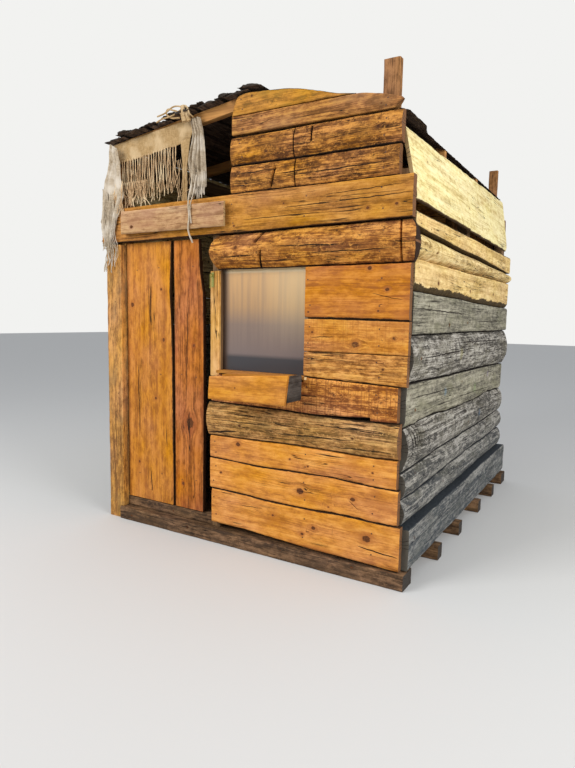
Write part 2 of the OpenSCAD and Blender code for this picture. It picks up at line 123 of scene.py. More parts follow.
def finish_material(tree, colour, roughness, height=None, depth=0.002, **sockets):
    """Close a material with the principled shader and, where there is a height, a bump."""
    inputs = {"Base Color": colour, "Roughness": roughness}
    inputs.update({key.replace("_", " "): value for key, value in sockets.items()})
    if height is not None:
        inputs["Normal"] = add(tree, "ShaderNodeBump", None,
                               {"Strength": 1.0, "Distance": depth, "Height": height})
    shader = add(tree, "ShaderNodeBsdfPrincipled", None, inputs)
    add(tree, "ShaderNodeOutputMaterial", None, {"Surface": shader}, out=None)


# %% [markdown]
# A few short helpers keep the materials readable: for sums with numbers and vectors, a soft step
# between two values, mixing two colours, a row of colour stops, and noise stretched along the grain.

# %% Short helpers for materials
def calc(tree, operation, *values):
    """Add one arithmetic node."""
    return add(tree, "ShaderNodeMath", {"operation": operation}, dict(enumerate(values)))


def stir(tree, value, wave, strength):
    """Add a noise to a value, centred so that the value keeps its level."""
    return calc(tree, "MULTIPLY_ADD", wave, strength, calc(tree, "SUBTRACT", value, strength / 2))


def vector(tree, operation, first, second, out=0):
    """Add one node of vector arithmetic."""
    return add(tree, "ShaderNodeVectorMath", {"operation": operation}, {0: first, 1: second}, out=out)


def three(tree, value):
    """Split a vector into its three numbers."""
    return add(tree, "ShaderNodeSeparateXYZ", None, {"Vector": value}, out=None).outputs[:]


def object_place(tree):
    """Give the place on the object, in metres."""
    return add(tree, "ShaderNodeTexCoord", out=3)


def colour_stops(tree, value, stops):
    """Turn a value into a colour by stops, each a position and a colour."""
    node = add(tree, "ShaderNodeValToRGB", None, {"Fac": value}, out=None)
    elements = node.color_ramp.elements
    elements[0].position, elements[1].position = stops[0][0], stops[-1][0]
    for position, _ in stops[1:-1]:
        elements.new(position)
    for element, (_, code) in zip(elements, stops):
        element.color = linear(code)
    return node.outputs["Color"]


def ease(tree, value, low, high, top=1.0):
    """Rise softly from 0 to top while a value goes from low to high."""
    return add(tree, "ShaderNodeMapRange", {"interpolation_type": "SMOOTHSTEP"},
               {"Value": value, "From Min": low, "From Max": high, "To Max": top})


def blend(tree, share, first, second):
    """Mix two colours."""
    return add(tree, "ShaderNodeMix", {"data_type": "RGBA"}, {"Factor": share, 6: first, 7: second}, out=2)


def noise(tree, place, along, across, detail=2.0, roughness=0.5):
    """Add noise with a number of waves per metre along and across the grain."""
    scaled = add(tree, "ShaderNodeMapping", None, {"Vector": place, "Scale": (along, across, 1.0)})
    return add(tree, "ShaderNodeTexNoise", {"noise_dimensions": "2D"},
               {"Vector": scaled, "Scale": 1.0, "Detail": detail, "Roughness": roughness})


# %% [markdown]
# Softwood boards that were sawn rough and left in the weather. Along the grain everything is long
# and thin: early and late wood a few millimetres apart, fine fibres, and splits. The grain parts
# round each knot. Over that lie broad patches where rain and sun have stained the wood, and the
# marks of the saw and of beetles. The board's map is in metres, so the scales are those of real
# wood, and the mesh carries the marks of one board: its tone, knots, bark, cracks and edges. Along
# its upper edge the colour gets a painted highlight, and along its lower edge a painted shade.

# %% Rough-sawn softwood
def softwood(name, pale, mid, dark, bark, stain, splits=0.5, gnawed=0.0, stained=0.4, sawn=0.0,
             relief=0.0022, grime_and_shade=0.0, smudges=(), contrast=1.0):
    """Make a rough-sawn softwood that follows each board's own map and marks."""
    material, tree = new_material(name)
    grain = add(tree, "ShaderNodeUVMap", {"uv_map": "grain"})
    tone, rind, cut, edge_light_and_shade = (add(tree, "ShaderNodeAttribute", {"attribute_name": key}, out=2)
                              for key in ("tone", "rind", "cut", "edge_light_and_shade"))
    knot = add(tree, "ShaderNodeAttribute", {"attribute_name": "knot"}, out=1)
    crack = add(tree, "ShaderNodeAttribute", {"attribute_name": "crack"}, out=1)
    crack_gap, crack_width, _ = three(tree, crack)

    sway = noise(tree, grain, 1.6, 6.0)
    knot_x, knot_y, knot_size = three(tree, knot)
    ragged = noise(tree, grain, 60.0, 90.0, 3.0)
    flat_knot = add(tree, "ShaderNodeCombineXYZ", None, {"X": knot_x, "Y": knot_y})
    radius = add(tree, "ShaderNodeVectorMath", {"operation": "LENGTH"}, {0: flat_knot}, out=1)
    radius = stir(tree, radius, ragged, 0.7)
    eye = ease(tree, radius, 1.05, 0.75)
    swell = ease(tree, radius, 3.4, 0.6)
    aside = calc(tree, "MULTIPLY", calc(tree, "MULTIPLY", knot_y, swell),
                 calc(tree, "MULTIPLY", knot_size, -0.75))
    bend = calc(tree, "MULTIPLY_ADD", sway, 0.03, aside)
    bent = vector(tree, "ADD", grain, add(tree, "ShaderNodeCombineXYZ", None, {"Y": bend}))

    streaks = noise(tree, bent, 3.0, 150.0, 5.0, 0.62)
    fibres = noise(tree, bent, 22.0, 620.0, 2.0, 0.6)
    broad = noise(tree, bent, 1.1, 22.0, 3.0)
    mottle = noise(tree, bent, 13.0, 30.0, 5.0, 0.68)
    mixed = calc(tree, "MULTIPLY_ADD", broad, 0.7, calc(tree, "MULTIPLY_ADD", streaks, 0.75, -0.225))
    mixed = stir(tree, stir(tree, mixed, mottle, 0.9), fibres, 0.35)
    colour = colour_stops(tree, mixed, ((0.5 - 0.20 / contrast, dark), (0.5, mid),
                                        (0.5 + 0.22 / contrast, pale)))

    patches = noise(tree, grain, 3.2, 8.0, 5.0, 0.6)
    colour = blend(tree, ease(tree, patches, 0.47, 0.7, stained), colour, linear(stain))
    hue = noise(tree, grain, 2.3, 5.0, 3.0)
    colour = add(tree, "ShaderNodeHueSaturation", None,
                 {"Color": colour, "Hue": calc(tree, "MULTIPLY_ADD", hue, 0.016, 0.492),
                  "Saturation": calc(tree, "MULTIPLY_ADD", hue, 0.2, 0.90)})
    colour = blend(tree, ease(tree, radius, 2.4, 1.0, 0.6), colour, linear(stain))
    rings = calc(tree, "PINGPONG", calc(tree, "MULTIPLY", radius, 3.0), 0.5)
    heart = blend(tree, rings, linear("#4a2914"), linear("#8a5228"))
    colour = blend(tree, eye, colour, heart)

    split = calc(tree, "ABSOLUTE", calc(tree, "SUBTRACT", noise(tree, bent, 1.3, 46.0, 1.5), 0.5))
    split = ease(tree, split, 0.016, 0.002)
    split = calc(tree, "MULTIPLY", split, ease(tree, sway, 0.66 - 0.3 * splits, 0.74 - 0.3 * splits))
    wander = stir(tree, crack_gap, noise(tree, grain, 14.0, 1.0, 3.0), 0.012)
    line = calc(tree, "DIVIDE", calc(tree, "ABSOLUTE", wander),
                calc(tree, "MAXIMUM", calc(tree, "MULTIPLY", crack_width, 0.0055), 0.0001))
    split = calc(tree, "MAXIMUM", split, ease(tree, line, 1.0, 0.45))
    colour = blend(tree, split, colour, linear("#1d120a"))

    worm = noise(tree, grain, 38.0, 72.0, 5.0, 0.75)
    ticks = noise(tree, grain, 190.0, 34.0, 3.0, 0.65)
    zone = ease(tree, noise(tree, grain, 7.0, 16.0, 4.0, 0.65), 0.36, 0.62, gnawed)
    pale_mark = calc(tree, "MULTIPLY", ease(tree, worm, 0.55, 0.66, 0.9), zone)
    dark_mark = calc(tree, "MULTIPLY", ease(tree, worm, 0.46, 0.34, 0.9), zone)
    tick_mark = calc(tree, "MULTIPLY", ease(tree, ticks, 0.58, 0.70, 0.8), zone)
    dark_mark = calc(tree, "MAXIMUM", dark_mark, tick_mark)
    colour = blend(tree, pale_mark, colour, linear(pale))
    colour = blend(tree, dark_mark, colour, linear(bark))
    teeth = ease(tree, noise(tree, grain, 85.0, 1.2, 1.0), 0.52, 0.66, sawn)
    colour = blend(tree, teeth, colour, linear(dark))

    # Painted highlight on the upper edge (up to 24% lighter), painted shade on the lower (up to 30%
    # darker).
    level = calc(tree, "MULTIPLY_ADD", tone, 0.36, 0.82)
    level = calc(tree, "MULTIPLY", level, calc(tree, "MULTIPLY_ADD", edge_light_and_shade, 0.30, 1.0))
    colour = add(tree, "ShaderNodeVectorMath", {"operation": "SCALE"}, {0: colour, "Scale": level})
    for place, size, tint in smudges:
        spot = vector(tree, "DISTANCE", object_place(tree), place, out=1)
        spot = calc(tree, "MULTIPLY_ADD", ragged, 0.9 * size, spot)
        colour = blend(tree, ease(tree, spot, 1.3 * size, 0.7 * size, 0.4), colour, linear(tint))

    crumble = noise(tree, grain, 34.0, 90.0, 4.0)
    rough_rind = calc(tree, "ADD", calc(tree, "MULTIPLY_ADD", crumble, 0.9, -0.45), rind)
    rough_rind = ease(tree, rough_rind, 0.35, 0.62)
    colour = blend(tree, rough_rind, colour, blend(tree, crumble, linear("#20160f"), linear(bark)))
    colour = blend(tree, ease(tree, calc(tree, "MULTIPLY_ADD", ragged, 0.5, cut), 0.6, 0.95), colour,
                   linear("#1a1009"))
    # Partly grime, partly painted shade: the grey boards turn blue-grey and darker towards the ground.
    if grime_and_shade > 0:
        height_up = three(tree, object_place(tree))[2]
        colour = blend(tree, ease(tree, height_up, 1.0, 0.05, grime_and_shade), colour, linear("#46545f"))

    height = calc(tree, "MULTIPLY_ADD", streaks, 0.35, calc(tree, "MULTIPLY", worm, zone))
    height = calc(tree, "SUBTRACT", height, calc(tree, "MAXIMUM", split, teeth))
    height = calc(tree, "MULTIPLY_ADD", rough_rind, crumble, height)
    finish_material(tree, colour, 0.82, height, relief, Specular_IOR_Level=0.2)
    return material


# %% [markdown]
# Where a board is cut across, its year rings show as arcs a few millimetres apart, with cracks that
# run out from the heart. The map of a cut end is centred on the heart of the log.

# %% Cut ends
RING_MM = 5.0


def cut_end(name, pale, dark):
    """Make sawn end grain: rings and radial cracks round the heart of the log."""
    material, tree = new_material(name)
    grain = add(tree, "ShaderNodeUVMap", {"uv_map": "grain"})
    wobble = add(tree, "ShaderNodeTexNoise", {"noise_dimensions": "2D"},
                 {"Vector": grain, "Scale": 14.0, "Detail": 2.0})
    radius = add(tree, "ShaderNodeVectorMath", {"operation": "LENGTH"}, {0: grain}, out=1)
    radius = calc(tree, "MULTIPLY_ADD", wobble, 0.012, radius)
    rings = calc(tree, "FRACT", calc(tree, "MULTIPLY", radius, 1000 / RING_MM))
    grain_x, grain_y, _ = three(tree, grain)
    angle = calc(tree, "ARCTAN2", grain_y, grain_x)
    spoke = add(tree, "ShaderNodeCombineXYZ", None, {"X": angle, "Y": 0.0})
    cracks = add(tree, "ShaderNodeTexNoise", {"noise_dimensions": "2D"},
                 {"Vector": spoke, "Scale": 9.0, "Detail": 2.0})
    cracks = ease(tree, cracks, 0.64, 0.7)
    colour = blend(tree, cracks, blend(tree, rings, linear(pale), linear(dark)), linear("#2a1c12"))
    finish_material(tree, colour, 0.9, calc(tree, "SUBTRACT", rings, cracks), 0.0012)
    return material


# %% [markdown]
# The woods of this hut. Each has a pale, a middle and a dark colour, then one for its bark and one for
# its stains, and says how split, stained, gnawed or sawn it is. The grey boards also carry a few soft
# smudges of colour.

# %% The woods of this hut
BOARD_SMUDGES = (((1.16, -0.55, 1.07), 0.05, "#4f7fa0"), ((1.16, 0.30, 1.02), 0.06, "#6f8f4f"),
                 ((1.16, -0.95, 1.36), 0.07, "#7a8c66"), ((1.16, 0.75, 1.10), 0.05, "#8f7f9c"))
LOG_SMUDGES = (((1.17, -0.30, 1.32), 0.07, "#9c9350"), ((1.17, 0.45, 0.80), 0.05, "#5f7f9c"))
WOOD_TABLE = {
    "honey_pine": ("honey_pine_rough_sawn", "#e8a553 #d28b3c #a4662c #5a3a1c #a8652f",
        dict(splits=0.3, stained=0.6, gnawed=0.15, contrast=0.7)),
    "orange_pine": ("orange_pine_rough_sawn", "#d38b3c #bd7529 #9a5a24 #4a2e16 #a86430",
        dict(splits=0.1, stained=0.6)),
    "fleck_pine": ("flecked_pine_rough_sawn", "#dc9d4c #c7823a #9b5f26 #5a3819 #a86a32",
        dict(splits=0.3, stained=0.5, gnawed=0.4, sawn=0.25)),
    "layered_pine": ("layered_pine_rough_sawn", "#e8ac5c #c2823c #7e4e1e #4a3018 #94622e",
        dict(splits=0.8, stained=0.6, gnawed=0.45, contrast=1.2)),
    "wormy_pine": ("worm_tracked_red_pine", "#de994f #b26f35 #7c4620 #54301a #8a4c28",
        dict(splits=0.4, stained=0.8, gnawed=1.0, sawn=0.45, contrast=1.7)),
    "streaky_pine": ("streaky_pine_weathered", "#d69d52 #b37434 #7a4c20 #4a3018 #94602e",
        dict(splits=0.8, stained=0.4, gnawed=0.25)),
    "sunned_plank": ("lintel_pine_sun_bleached", "#ce9344 #b4792f #845419 #4a3018 #925c24",
        dict(splits=0.6, stained=0.5, gnawed=0.4, contrast=0.75)),
    "long_pine": ("gable_pine_straight", "#c48d45 #a16b37 #6f461e #4a3018 #86613a",
        dict(splits=0.5, stained=0.5, gnawed=0.15, contrast=1.2)),
    "olive_slab": ("gable_slab_ochre", "#cf933c #b0772a #7b551d #4c3a1a #8a6828",
        dict(splits=0.3, stained=0.7, gnawed=0.6, relief=0.003, contrast=0.75)),
    "gnawed_slab": ("log_face_gnawed", "#d69444 #9d642a #5c3614 #301c0c #6a421e",
        dict(splits=0.4, stained=0.7, gnawed=1.0, relief=0.005, contrast=1.3)),
    "amber_log": ("log_face_amber", "#dc9a48 #b37430 #74431c #3c2410 #825024",
        dict(splits=0.5, stained=0.7, gnawed=1.0, relief=0.005, contrast=1.5)),
    "barky_slab": ("log_face_grey_brown", "#dcab68 #b07e46 #6c4e26 #5a4026 #86683a",
        dict(splits=1.0, stained=0.6, gnawed=0.8, relief=0.005, contrast=1.1)),
    "red_larch": ("door_plank_red_larch", "#c67a3a #ae672d #82491c #5a3418 #964d24",
        dict(splits=0.4, stained=0.5, gnawed=0.15, contrast=1.2)),
    "door_pine": ("door_plank_pine", "#cd8838 #b9772f #985c25 #5a3a1c #a26028",
        dict(splits=0.3, stained=0.4, gnawed=0.1, contrast=1.1)),
    "pale_spruce": ("pale_spruce_fresh_sawn", "#f3e8b4 #e6d598 #bda468 #6e5230 #cdb076",
        dict(splits=0.3, stained=0.35, gnawed=0.3, contrast=0.8)),
    "straw_log": ("straw_log_face", "#f2dba0 #d9bb7e #997b48 #4c3a20 #a28450",
        dict(splits=0.6, stained=0.4, gnawed=0.6, relief=0.004)),
    "waney_spruce": ("waney_spruce_straw", "#ecd192 #d3b173 #a5834a #5f4c2a #a88a50",
        dict(splits=0.4, stained=0.4, gnawed=0.3, contrast=0.75)),
    "silver_board": ("silver_grey_board", "#aaa490 #86806e #585448 #3a3630 #77745a",
        dict(splits=0.9, stained=0.5, gnawed=0.5, grime_and_shade=0.5, contrast=0.9, smudges=BOARD_SMUDGES)),
    "silver_log": ("silver_grey_log_face", "#bab4a8 #867f74 #4a4640 #2c2822 #6c6654",
        dict(splits=0.9, stained=0.6, gnawed=1.0, relief=0.006, grime_and_shade=0.5, contrast=1.6,
             smudges=LOG_SMUDGES)),
    "roof_bark": ("roof_slab_bark", "#7a6553 #54443a #2c221b #2a1f17 #3a2c22",
        dict(splits=0.6, stained=0.6, gnawed=0.9, relief=0.008)),
    "post_wood": ("post_rough_sawn", "#c9924f #ac7a40 #7a522c #4a341e #8a6c44",
        dict(splits=0.6, stained=0.6, gnawed=0.4, contrast=1.2)),
    "new_post": ("post_pale_pine", "#a4744a #865c38 #654426 #4a341e #74512f",
        dict(splits=0.2, stained=0.3, contrast=1.4)),
    "sill_oak": ("sill_beam_damp", "#927050 #6e5238 #3e2e20 #2a1e14 #4a3828",
        dict(splits=0.6, stained=0.8, gnawed=0.5)),
    "inner_board": ("inner_frame_timber", "#8d6a43 #735535 #523b24 #35261a #4e3a26",
        dict(splits=0.4, stained=0.5)),
    "sign_pine": ("sign_board_pale", "#d6ae80 #c2966c #966c4a #6e5230 #b28262",
        dict(splits=0.3, stained=0.6, gnawed=0.2)),
    "batten_pine": ("batten_planed_pine", "#f4c078 #e2a95e #bb8440 #6e4c28 #c8924a",
        dict(splits=0.2, stained=0.3, gnawed=0.1)),
    # The counter box's dark grey is partly its own colour and partly painted shade.
    "grey_end_painted_shade": ("counter_end_grey_painted_shade", "#55504b #423d39 #2d2926 #221d19 #38342f",
        dict(splits=0.4, stained=0.4)),
    "counter_pine": ("counter_board_pine", "#d3913c #c17d30 #a46826 #6e4420 #b3742f",
        dict(splits=0.1, stained=0.4, gnawed=0.15)),
}
WOODS = {key: softwood(name, *colours.split(), **marks)
         for key, (name, colours, marks) in WOOD_TABLE.items()}
ENDS = {
    "warm": cut_end("cut_end_warm", "#8f5f33", "#5c3a1e"),
    "pale": cut_end("cut_end_pale", "#c9ac78", "#8f7043"),
    "fresh": cut_end("cut_end_fresh", "#f2dca6", "#d8b678"),
    "grey": cut_end("cut_end_grey", "#6f6a5e", "#46423a"),
    "dark": cut_end("cut_end_dark", "#41352a", "#262019"),
}
print("woods:", len(WOODS), "cut ends:", len(ENDS))

# %% [markdown]
# Waney edges and bark need noise that is the same on each run. This value noise takes its random
# numbers from whole-number arithmetic on the grid cell, so it has no seed to forget.

# %% Noise for shapes
def cell_value(ix, iy, seed):
    """Return a fixed random number from 0 to 1 for each grid cell."""
    mixed = (ix * 374761393 + iy * 668265263 + seed * 1274126177) & 0xFFFFFFFF
    mixed = ((mixed ^ (mixed >> 13)) * 1274126177) & 0xFFFFFFFF
    return ((mixed ^ (mixed >> 16)) & 0xFFFF) / 65535.0


def smooth_noise(x, y, seed):
    """Return value noise from -1 to 1."""
    ix = np.floor(x).astype(np.int64)
    iy = np.floor(y).astype(np.int64)
    fx = x - ix
    fy = y - iy
    fx = fx * fx * (3 - 2 * fx)
    fy = fy * fy * (3 - 2 * fy)
    low = cell_value(ix, iy, seed) * (1 - fx) + cell_value(ix + 1, iy, seed) * fx
    high = cell_value(ix, iy + 1, seed) * (1 - fx) + cell_value(ix + 1, iy + 1, seed) * fx
    return (low * (1 - fy) + high * fy) * 2 - 1


def fractal(x, y, seed, octaves=4):
    """Sum octaves of the noise, each twice as fine and half as strong."""
    total = np.zeros(np.broadcast(x, y).shape)
    for octave in range(octaves):
        total = total + smooth_noise(x * 2 ** octave, y * 2 ** octave, seed + octave * 31) / 2 ** octave
    return total / 1.6


# %% [markdown]
# Each wall has its own directions: along the board, across it, and outwards. The model's solids are
# read back as loose meshes, and the flat face at the back of each one gives the board's outline.

# %% Directions and outlines
WELD = 1e-5
BACK_TOLERANCE = 0.0006


def directions(*axes):
    """Give the directions along, across and out of a board as arrays."""
    return tuple(np.array(axis, float) for axis in axes)


SIDES = {
    "front": directions((1, 0, 0), (0, 0, 1), (0, -1, 0)),
    "right": directions((0, 1, 0), (0, 0, 1), (1, 0, 0)),
    "left": directions((0, 1, 0), (0, 0, 1), (-1, 0, 0)),
    "back": directions((1, 0, 0), (0, 0, 1), (0, 1, 0)),
    "upright": directions((0, 0, 1), (1, 0, 0), (0, -1, 0)),
    "flat": directions((1, 0, 0), (0, 1, 0), (0, 0, 1)),
}


def solids_of(node):
    """Return the corner points and edges of each loose solid in a node of the model."""
    shape = bmesh.new()
    shape.from_mesh(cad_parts[node].data)
    bmesh.ops.remove_doubles(shape, verts=shape.verts, dist=WELD)
    shape.verts.ensure_lookup_table()
    seen = set()
    found = []
    for start in shape.verts:
        if start.index in seen:
            continue
        island = [start]
        seen.add(start.index)
        for vert in island:
            for edge in vert.link_edges:
                other = edge.other_vert(vert)
                if other.index not in seen:
                    seen.add(other.index)
                    island.append(other)
        place = {vert.index: i for i, vert in enumerate(island)}
        edges = {edge for vert in island for edge in vert.link_edges}
        points = np.array([vert.co[:] for vert in island])
        pairs = np.array(sorted(sorted(place[v.index] for v in edge.verts) for edge in edges))
        found.append((points, pairs))
    shape.free()
    return found


def outline(points, pairs, axes):
    """Measure a solid along its board directions: its length, depths and back edges."""
    along, across, outward = axes
    s = points @ along
    c = points @ across
    n = points @ outward
    depth = n.max() - n.min()
    back = n < n.min() + BACK_TOLERANCE
    rim = n[~back] - n.min()
    lines = pairs[back[pairs[:, 0]] & back[pairs[:, 1]]]
    return {"s0": s.min(), "s1": s.max(), "n0": n.min(), "depth": depth, "edge_depth": rim.min(),
            "ends": (s[lines], c[lines])}


def edges_at(shape, stations):
    """Return the lower and upper edge of the outline at each station."""
    s, c = shape["ends"]
    low_s = s.min(1)
    high_s = s.max(1)
    span = np.maximum(high_s - low_s, 1e-9)
    low_c = np.where(s[:, 0] <= s[:, 1], c[:, 0], c[:, 1])
    high_c = np.where(s[:, 0] <= s[:, 1], c[:, 1], c[:, 0])
    bottom = np.empty(len(stations))
    top = np.empty(len(stations))
    for i, place in enumerate(np.clip(stations, s.min() + 1e-4, s.max() - 1e-4)):
        hit = (low_s <= place) & (high_s >= place)
        share = (place - low_s[hit]) / span[hit]
        value = low_c[hit] + (high_c[hit] - low_c[hit]) * share
        bottom[i] = value.min()
        top[i] = value.max()
    return bottom, top


def eased(values, width):
    """Round off the corners of a line with a short moving average that keeps its ends."""
    count = max(1, int(width))
    if count < 2:
        return values
    before = 2 * values[0] - values[count:0:-1]
    after = 2 * values[-1] - values[-2:-count - 2:-1]
    padded = np.concatenate([before, values, after])
    kernel = np.hanning(2 * count + 3)[1:-1]
    kernel /= kernel.sum()
    return np.convolve(padded, kernel, "same")[count:count + len(values)]


# %% [markdown]
# Knots and cracks are given by their places on the wall. Each point of a board's mesh then carries how
# far it lies from the nearest of them, and the material draws them from that.

# %% Knots and cracks
FAR_FROM_KNOT = 60.0
FAR_FROM_CRACK = 0.05
CRACK_REACH = 0.03


def scattered_knots(shape, seed, spacing=0.55):
    """Choose places and sizes for a board's knots: mostly pins, now and then a thumb's width."""
    found = []
    count = int((shape["s1"] - shape["s0"]) / spacing)
    for i in range(count):
        along, across, size = (float(cell_value(np.int64(i), np.int64(k), seed + 71)) for k in (1, 2, 3))
        s = shape["s0"] + (i + 0.15 + 0.7 * along) * spacing
        bottom, top = edges_at(shape, [s])
        c = bottom[0] + (0.2 + 0.6 * across) * (top[0] - bottom[0])
        found.append((s, c, 0.004 + 0.010 * size ** 3))
    return found


def knot_marks(s, c, knots):
    """Return each point's place in units of the nearest knot's size, and that size."""
    marks = np.full(s.shape + (3,), FAR_FROM_KNOT)
    marks[..., 2] = 0.0
    nearest = np.full(s.shape, FAR_FROM_KNOT)
    for knot_s, knot_c, size in knots:
        x = (s - knot_s) / (1.25 * size)
        y = (c - knot_c) / size
        closer = np.hypot(x, y) < nearest
        nearest = np.where(closer, np.hypot(x, y), nearest)
        marks[closer] = np.stack([x, y, np.full(s.shape, size)], -1)[closer]
    return marks


def crack_marks(s, c, cracks):
    """Return each point's distance across from the nearest crack, and how wide the crack is there."""
    marks = np.zeros(s.shape + (3,))
    marks[..., 0] = FAR_FROM_CRACK
    for start_s, end_s, start_c, end_c, strength in cracks:
        share = (s - start_s) / (end_s - start_s)
        gap = c - (start_c + (end_c - start_c) * share)
        near = (np.abs(gap) < CRACK_REACH) & (share > -0.05) & (share < 1.05)
        width = strength * np.sqrt(np.clip(4 * share * (1 - share), 0, 1))
        marks[near] = np.stack([gap, width, 0 * gap], -1)[near]
    return marks


# %% [markdown]
# One function grows every board. It walks along the outline in small steps and lays a ring of points
# round the board at each step: the front with its bulge and relief, two worn edges, and the back. A
# kerf is a cut or deep crack across the board, and it gets steps of its own so that it stays sharp.

# %% Growing a board
THINNEST = 0.25
MAP_SHIFT = (3.71, 1.37)


def grow_board(shape, axes, seed, step=0.012, rows=22, relief=0.002, wane=(0.006, 0.006),
               rind=(0.0, 0.0), rind_patches=(), kerfs=(), knots=None, cracks=(), notches=(),
               heart=0.12, rough_end=0.003, ragged=0.0025, tone=None, round_off=0.05):
    """Return the points, faces, maps and marks of one board."""
    along, across, outward = axes
    s0, s1 = shape["s0"], shape["s1"]
    stations = list(np.linspace(s0, s1, max(3, int((s1 - s0) / step))))
    for kerf in kerfs:
        stations += [kerf["s"] + kerf["width"] * k for k in (-2, -1, -0.5, 0, 0.5, 1, 2)]
    for start, end, _ in notches:
        stations += [start, end - 0.002, end, end + 0.004]
    stations = np.unique(np.clip(stations, s0, s1))
    bottom, top = edges_at(shape, stations)
    bottom = eased(bottom, round_off / step)
    top = eased(top, round_off / step)
    bottom = bottom + ragged * np.abs(fractal(stations / 0.05, np.full_like(stations, 0.3), seed + 5))
    top = top - ragged * np.abs(fractal(stations / 0.05, np.full_like(stations, 0.7), seed + 9))
    for start, end, deep in notches:
        share = (stations - start) / (end - start)
        bottom = bottom + deep * np.where((share > 0) & (share <= 1), share, 0)
    q = np.sin(np.linspace(-math.pi / 2, math.pi / 2, rows))[None, :]
    middle = ((bottom + top) / 2)[:, None]
    half = ((top - bottom) / 2)[:, None]
    c = middle + half * q
    s = np.repeat(stations[:, None], rows, 1)
    full_half = np.maximum(half, 0.85 * np.median(half))
    bulge = shape["depth"] - shape["edge_depth"]
    depth = shape["edge_depth"] + bulge * np.clip(1 - ((c - middle) / full_half) ** 2, 0, 1)
    worn = relief * (0.5 + 0.5 * fractal(s / 0.22, c / 0.05, seed))
    worn = worn + 0.35 * relief * (1 + fractal(s / 0.03, c / 0.009, seed + 3))
    depth = depth - worn
    to_low = c - bottom[:, None]
    to_high = top[:, None] - c
    for width, gap, shift in ((wane[0], to_low, 11), (wane[1], to_high, 17)):
        if width > 0:
            uneven = width * (1 + 0.7 * fractal(s / 0.11, np.full_like(s, 0.2), seed + shift))
            share = np.clip(1 - gap / np.maximum(2.2 * uneven, 1e-4), 0, 1)
            depth = depth - uneven * share ** 2
    cut = np.zeros_like(s)
    for kerf in kerfs:
        near = np.clip(1 - np.abs(s - kerf["s"]) / kerf["width"], 0, 1)
        low, high = kerf.get("part", (-1.0, 1.0))
        inside = np.clip((q - low) / 0.15 + 0.5, 0, 1) * np.clip((high - q) / 0.15 + 0.5, 0, 1)
        depth = depth - kerf["depth"] * near * inside
        cut = np.maximum(cut, near * inside)
        bow = kerf.get("lean", 0.0) * (c - middle) + kerf.get("bow", 0.0) * (1 - q ** 2)
        s = s + bow * np.exp(-((s - kerf["s"]) / 0.06) ** 2)
    depth = np.maximum(depth, THINNEST * shape["edge_depth"])
    s = np.clip(s, s0, s1)
    bark = np.zeros_like(s)
    for width, gap, shift in ((rind[0], to_low, 23), (rind[1], to_high, 29)):
        if width > 0:
            uneven = width * (1 + 0.6 * fractal(s / 0.16, np.full_like(s, 0.6), seed + shift))
            rim = 1 - (gap - 0.5 * uneven) / np.maximum(0.6 * uneven, 1e-4)
            bark = np.maximum(bark, np.clip(rim, 0, 1))
    for place_s, place_c, size_s, size_c in rind_patches:
        away = ((s - place_s) / size_s) ** 2 + ((c - place_c) / size_c) ** 2
        away = away + 0.35 * fractal(s / 0.04, c / 0.02, seed + 37)
        bark = np.maximum(bark, np.clip((1.15 - away) / 0.3, 0, 1))
    # Painted light by edge: 0.8 is a painted highlight along the upper edge, -1 a painted shade along the
    # lower edge and its worn face.
    edge_light_and_shade = 0.8 * np.clip(1 - to_high / 0.007, 0, 1) - np.clip(1 - to_low / 0.012, 0, 1)

    def ring_part(*columns):
        return np.stack(columns, -1)

    front = ring_part(s, c, depth, c, bark, cut, edge_light_and_shade)
    lift = np.array([0.0, 0.5, 0.9])[None, :]
    none = np.zeros((len(stations), 3))
    low_n = depth[:, :1] * lift
    low_edge = ring_part(s[:, :1] + none, c[:, :1] + none, low_n, c[:, :1] - depth[:, :1] + low_n,
                         bark[:, :1] + none, none, none - 1)
    high_n = depth[:, -1:] * lift[:, ::-1]
    high_edge = ring_part(s[:, -1:] + none, c[:, -1:] + none, high_n, c[:, -1:] + depth[:, -1:] - high_n,
                          bark[:, -1:] + none, none, none)
    back_c = c[:, -2:0:-1]
    back = ring_part(s[:, -2:0:-1], back_c, 0 * back_c, back_c, 0 * back_c, 0 * back_c, 0 * back_c)
    ring = np.concatenate([low_edge, front, high_edge, back], 1)
    stations_count, ring_count = ring.shape[:2]
    for end, sign in ((0, 1), (-1, -1)):
        rough = np.abs(fractal(ring[end, :, 1] / 0.03, ring[end, :, 2] / 0.03, seed + 41))
        ring[end, :, 0] += sign * rough_end * rough
    points = (ring[..., 0:1] * along + ring[..., 1:2] * across
              + (ring[..., 2:3] + shape["n0"]) * outward).reshape(-1, 3)
    first = np.arange(stations_count - 1)[:, None] * ring_count
    here = np.arange(ring_count)[None, :]
    there = (here + 1) % ring_count
    quads = np.stack([first + here, first + ring_count + here, first + ring_count + there,
                      first + there], -1).reshape(-1, 4)
    maps = np.stack([ring[..., 0] + MAP_SHIFT[0] * seed, ring[..., 3] + MAP_SHIFT[1] * seed],
                    -1).reshape(-1, 2)
    flip = np.dot(np.cross(along, across), outward) < 0
    faces = [tuple(quad[::-1] if flip else quad) for quad in quads.tolist()]
    corner_maps = [[maps[i] for i in face] for face in faces]
    low_count = 3
    high_start = low_count + rows
    caps = []
    for end, reverse in ((0, False), (stations_count - 1, True)):
        base = end * ring_count
        order = list(range(low_count, high_start))
        fronts = [base + k for k in order]
        backs = [base] + [base + ring_count - 1 - k for k in range(rows - 2)] + [base + high_start + 2]
        for k in range(rows - 1):
            face = [fronts[k], fronts[k + 1], backs[k + 1], backs[k]]
            if k == 0:
                face += [base + 1, base + 2]
            if k == rows - 2:
                face = [fronts[k], fronts[k + 1], base + high_start, base + high_start + 1,
                        backs[k + 1], backs[k]]
            caps.append(face[::-1] if reverse != flip else face)
    flat = ring.reshape(-1, 7)
